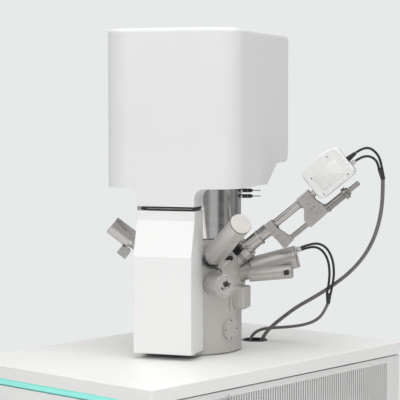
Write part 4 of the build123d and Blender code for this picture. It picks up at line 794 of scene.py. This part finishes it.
rod_between("valve_rod", (0.1501, 0.0798, 0.2692), (0.1264, 0.1061, 0.2404), 0.0014, "frame", "plug_metal")
rod_between("valve_cross", (0.1205, 0.1015, 0.2440), (0.1330, 0.1110, 0.2385), 0.0016, "frame", "plug_metal")
rod_between("valve_lever", (0.1285, 0.1085, 0.2400), (0.1325, 0.1100, 0.2325), 0.0020, "frame", "socket_black")
rod_between("valve_stem", (0.1100, 0.0930, 0.2410), (0.1262, 0.1059, 0.2410), 0.0042, "frame", "tube_steel")
rod_between("valve_block", (0.1250, 0.0665, 0.2700), (0.1530, 0.0815, 0.2700), 0.0068, "frame", "black_anodised")
print("small valve done")

# %% [markdown]
# Between the slanted detector and the X-ray detector a small black block with fins stands on the chamber's
# shoulder. It is painted shade: a dark thing set in the shaded gap beside the X-ray detector's boss, and its
# fins are one thin plate repeated along it by the same tree.

# %% Black block with fins, painted shade
def block_axis(distance):
    """The axis of the finned block of painted shade."""
    return axis_frame(72.0, 45.0, 0.125, distance)


# The black fins, core and top below are painted shade in the gap beside the X-ray detector's boss; the screws and
# connectors on them are bright fittings.
fin_form = bmesh.new()
plate_form(fin_form, 0.0074, 0.0125, -0.0007, 0.0007, 0.002)
fin_mesh = bpy.data.meshes.new("fin")
fin_form.to_mesh(fin_mesh)
fin_form.free()
fin_mesh.materials.append(finishes["black_anodised"])
fin = bpy.data.objects.new("fin", fin_mesh)
FIN_COUNT, FIN_PITCH = 6, 0.0036
repeated("amplifier_fins", fin, [(0, 0, FIN_PITCH * k) for k in range(FIN_COUNT)], block_axis(0.2270), "frame",
         "black_anodised")
plate_piece("amplifier_core", 0.0058, 0.0105, 0.0, 0.0245, block_axis(0.2250), "frame", "socket_black",
            0.002, 0.0005)
plate_piece("amplifier_top", 0.0072, 0.0118, 0.0, 0.0030, block_axis(0.2485), "frame", "black_anodised",
            0.002, 0.0006)
spots = [(x, y, 0) for x in (-0.0044, 0.0044) for y in (-0.0085, 0.0085)]
screws("amplifier_screws", spots, block_axis(0.2515), "frame", size=0.7)
to_the_side = Matrix.Rotation(radians(90), 4, "Y")
for index, y in enumerate((-0.0040, 0.0050)):
    turned_piece("amplifier_connector_%d" % index,
                 [(0, 0), (0.0030, 0), (0.0030, 0.006), (0.0024, 0.0065), (0.0024, 0.011), (0, 0.0115)],
                 block_axis(0.2150) @ Matrix.Translation((0.0100, y, 0)) @ to_the_side, "frame", "plug_metal", 24)
print("finned block done")

# %% [markdown]
# The plugs on the X-ray detector's housing are made again as two separate things: a tapered black boot with
# fine ribs, which is the strain relief of the thicker lead, and a bright screwed ring under it.

# %% Boot and ring of the housing's leads
boot_outline = [(0, 0), (0.0078, 0), (0.0080, 0.0004)]
for rib in range(7):
    width = 0.0078 - 0.0004 * rib
    start = 0.006 + 0.0032 * rib
    boot_outline += [(width, start), (width - 0.0006, start + 0.0004), (width - 0.0006, start + 0.0012),
                     (width - 0.0003, start + 0.0016)]
boot_outline += [(0.0045, 0.0296), (0.0040, 0.030), (0, 0.030)]
PLUGS_FACE = 0.5968  # the housing's end, along the X-ray detector's axis
boot_place = xray_axis(PLUGS_FACE) @ Matrix.Translation((0, -0.014, 0))
boot = turned_piece("lead_boot", boot_outline, boot_place, "xray_carriage", "lead_black", 40)
ring_outline = [(0, 0), (0.0062, 0), (0.0065, 0.0003), (0.0065, 0.004), (0.0055, 0.0045), (0.0055, 0.006),
                (0.0062, 0.0064), (0.0062, 0.0105), (0.0050, 0.011), (0.0046, 0.0138), (0, 0.014)]
ring_place = xray_axis(PLUGS_FACE) @ Matrix.Translation((0, 0.003, 0))
ring = turned_piece("lead_ring", ring_outline, ring_place, "xray_carriage", "plug_metal", 40)
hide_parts("housing_plugs")
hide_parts("housing_plugs")
print("boot and ring done")

# %% [markdown]
# The housing is moulded in two halves. Each side carries a slightly raised panel with soft edges and four
# sunk screws near the corners.

# %% Raised panel and screws of the housing
PANEL_MIDDLE, PANEL_RISE = 0.5330, 0.0135
spots = [(0.0270, -0.0407), (-0.0445, -0.0221), (-0.0449, 0.0342), (0.0423, 0.0331)]
for far, name in ((1, "near"), (-1, "far")):
    middle = xray_axis(PANEL_MIDDLE) @ Matrix.Translation((0.026 * far, -PANEL_RISE, 0))
    upright = middle @ Matrix.Rotation(radians(90 * far), 4, "Y")
    plate_piece("housing_panel_" + name, 0.0390, 0.0260, -0.0005, 0.0012, upright, "xray_carriage",
                "housing_white", 0.006, 0.0008)
    places = [(-far * along, down, -0.0004) for along, down in spots]
    screws("housing_screws_" + name, places, upright, "xray_carriage", slot="iron_lens", size=0.85)
print("housing done")

# %% [markdown]
# Each yoke is bored for the tube and for the drive rod. A bushing stands out where a shaft leaves a yoke, and
# each side has a clamp slit and three cap screws. The lower yoke stays with the chamber, the upper one moves.
# The two plugs on the column get a bright collar and a darker ring in the same way.

# %% Bushings and screws of the yokes, rings of the column's plugs
def bushing(name, inner, outer, start, reach, down, body, slot_name):
    """A ring round a shaft of the X-ray detector, its edges broken."""
    place = xray_axis(start) @ Matrix.Translation((0, down, 0))
    return turned_piece(name, collar(inner, outer, reach, 0.0005), place, body, slot_name)


bushing("lower_tube_bush", 0.0093, 0.0130, 0.3230, 0.0030, 0, "frame", "nut_steel")
bushing("lower_rod_bush", 0.0071, 0.0102, 0.3310, 0.0050, 0.056, "frame", "tube_steel")
bushing("upper_tube_low_bush", 0.0091, 0.0128, 0.4120, 0.0040, 0, "xray_carriage", "nut_steel")
YOKE_HALF = 0.0150
spots = [(0, -0.0125, 0), (0, 0.0125, 0), (0, 0.0480, 0)]
for name, middle, body in (("lower", 0.3105, "frame"), ("upper", 0.4365, "xray_carriage")):
    for side, far in (("near", 1), ("far", -1)):
        outward = Matrix.Rotation(radians(90 * far), 4, "Y")
        face_at = xray_axis(middle) @ Matrix.Translation((far * YOKE_HALF, 0, 0)) @ outward
        screws("%s_yoke_screws_%s" % (name, side), spots, face_at, body, slot="flange_steel", size=1.0)
        plate_piece("%s_yoke_slit_%s" % (name, side), 0.0100, 0.0004, -0.0004, 0.00015,
                    face_at @ Matrix.Translation((0, 0.0300, 0)), body, "socket_black", 0.0001)
for index, height in enumerate((0.452, 0.436)):
    turned_piece("plug_collar_%d" % index, collar(0.0012, 0.0068, 0.004, 0.0004),
                 axis_frame(108.5, 0, height, 0.1478), "frame", "plug_metal", 32)
    turned_piece("plug_ring_%d" % index, [(0.0054, 0), (0.0060, 0.0003), (0.0060, 0.0017), (0.0054, 0.002)],
                 axis_frame(108.5, 0, height, 0.1655), "frame", "nut_steel", 32)
print("yokes done")

# %% [markdown]
# The twin barrels: the lower one has a black square socket on its side near the end, and the casting carries a
# group of small hexagon screws. The upper barrel's end has a raised rim and four more.

# %% Sockets and screws of the twin barrels
twin_side = twin_axis(0.2905) @ Matrix.Translation((0.0188, -0.0012, 0)) @ to_the_side
twin_socket = twin_side @ Matrix.Rotation(radians(8), 4, "Z")
plate_piece("twin_bezel", 0.0080, 0.0078, -0.0010, 0.0010, twin_socket, "frame", "tube_steel", 0.001, 0.0003)
plate_piece("twin_socket_face", 0.0062, 0.0062, -0.0002, 0.0016, twin_socket, "frame", "socket_black", 0.0006, 0.0003)
screws("twin_screws", [(0.0, 0.0, 0.0), (0.006, 0.003, 0.0), (0.001, 0.008, 0.0), (0.007, 0.010, 0.0)],
       twin_axis(0.1890) @ Matrix.Translation((0.0175, 0.004, 0)) @ to_the_side, "frame", size=0.9)
turned_piece("side_end_ring", [(0.0292, 0), (0.0318, 0), (0.0318, 0.0012), (0.0308, 0.0022), (0.0292, 0.0022)],
             side_axis(0.3178), "frame", "detector_grey", 64)
screws("side_end_screws", ring_places(4, 0.0235, 20, 0.0), side_axis(0.3180), "frame", size=0.9)

# %% [markdown]
# The blanking plate on the free port sits nearly flush, and four cap screws hold it. Their heads are black, as
# painted shade of the sunk holes that they sit in. Above it on the chamber are a small tapped hole and a rounded
# ridge. The column's casing ends in a foot ring.

# %% Small parts of the chamber
# Black heads: real screws, coloured as painted shade of the sunk holes.
screws("blank_screws", ring_places(4, 0.0245, 0, -0.0008), blank_axis(0.1542), "frame",
       slot="black_anodised", size=0.95)
tapped_place = axis_frame(76.0, 0, 0.1238, 0.1499)
turned_piece("tapped_hole", [(0.0012, 0), (0.0034, 0), (0.0034, 0.0006), (0.0026, 0.0010), (0.0012, 0.0010)],
             tapped_place, "frame", "plug_metal", 32)
turned_piece("tapped_bore", [(0, 0), (0.0016, 0), (0.0016, 0.0004), (0, 0.0004)], tapped_place, "frame",
             "socket_black", 24)
plate_piece("pad_ridge", 0.0045, 0.0215, -0.0060, 0.0040, axis_frame(69.3, 0, 0.1390, 0.1500), "frame",
            "chamber_grey", 0.0044, 0.0014)
turned_piece("column_foot", collar(0.1482, 0.1505, 0.004, 0.0005), tower_frame(0, 0, 0.3222), "frame", "iron_lens",
             160)
spots = [(x, -z, 0) for x in (-0.028, 0.028) for z in (0.127, 0.178)]
screws("block_screws", spots, pad_axis(0.1729), "frame", size=0.9)
print("chamber's small parts done")

# %% [markdown]
# The door is hidden by the front cover, but it slides out with the stage, so both get the screws in their
# plates too. They show when the door is open.

# %% Stage fittings
base_spots = [(x, y, 0) for x in (-0.050, 0.050) for y in (0.070, 0.135)]
screws("stage_base_screws", base_spots, tower_frame(0, 0, 0.064), "door", size=1.2)
slide_spots = [(x, y, 0) for x in (-0.036, 0.036) for y in (0.030, -0.030)]
screws("stage_x_screws", slide_spots, tower_frame(0, 0, 0.0926), "stage_x", size=1.2)
screws("door_screws", [(x, -z, 0) for x in (-0.070, 0.070) for z in (0.060, 0.165, 0.270)],
       axis_frame(0, 0, 0, 0.1838), "door", size=1.3)
print("stage fittings done")

# %% [markdown]
# The vent panel has a small lock near its front corner: a bright round barrel with a slot. The slot between
# the head cover and the front cover shows a few small fittings at its left end.

# %% Lock and slot fittings
lock_place = Matrix.Translation((0.3810, -0.2715, 0.6987)) @ to_the_side
turned_piece("panel_lock", [(0, 0.0012), (0.0075, 0.0012), (0.0082, 0.0022), (0.0095, 0.0022),
                            (0.0105, 0.0012), (0.0105, -0.0005), (0, -0.0005)], lock_place, "frame", "plug_metal", 40)
plate_piece("panel_lock_slot", 0.0008, 0.0045, 0.0008, 0.0016, lock_place, "frame", "socket_black", 0.0003)


def in_slot(across):
    """A frame in the slot under the head cover, with Z across the tower."""
    return tower_frame(across, 0.1918, 0.4120) @ to_the_side


turned_piece("slot_rod", [(0, 0), (0.0018, 0), (0.0021, 0.0003), (0.0021, 0.1320), (0, 0.1320)],
             in_slot(-0.0560), "frame", "nut_steel", 24)
plate_piece("slot_block", 0.0040, 0.0016, -0.0075, 0.0075, in_slot(-0.0665), "frame", "socket_black",
            0.0006, 0.0003)
plate_piece("slot_spacer", 0.0042, 0.0018, -0.0014, 0.0014, in_slot(-0.0755), "frame", "plug_metal",
            0.0006, 0.0003)
print("slot fittings done")
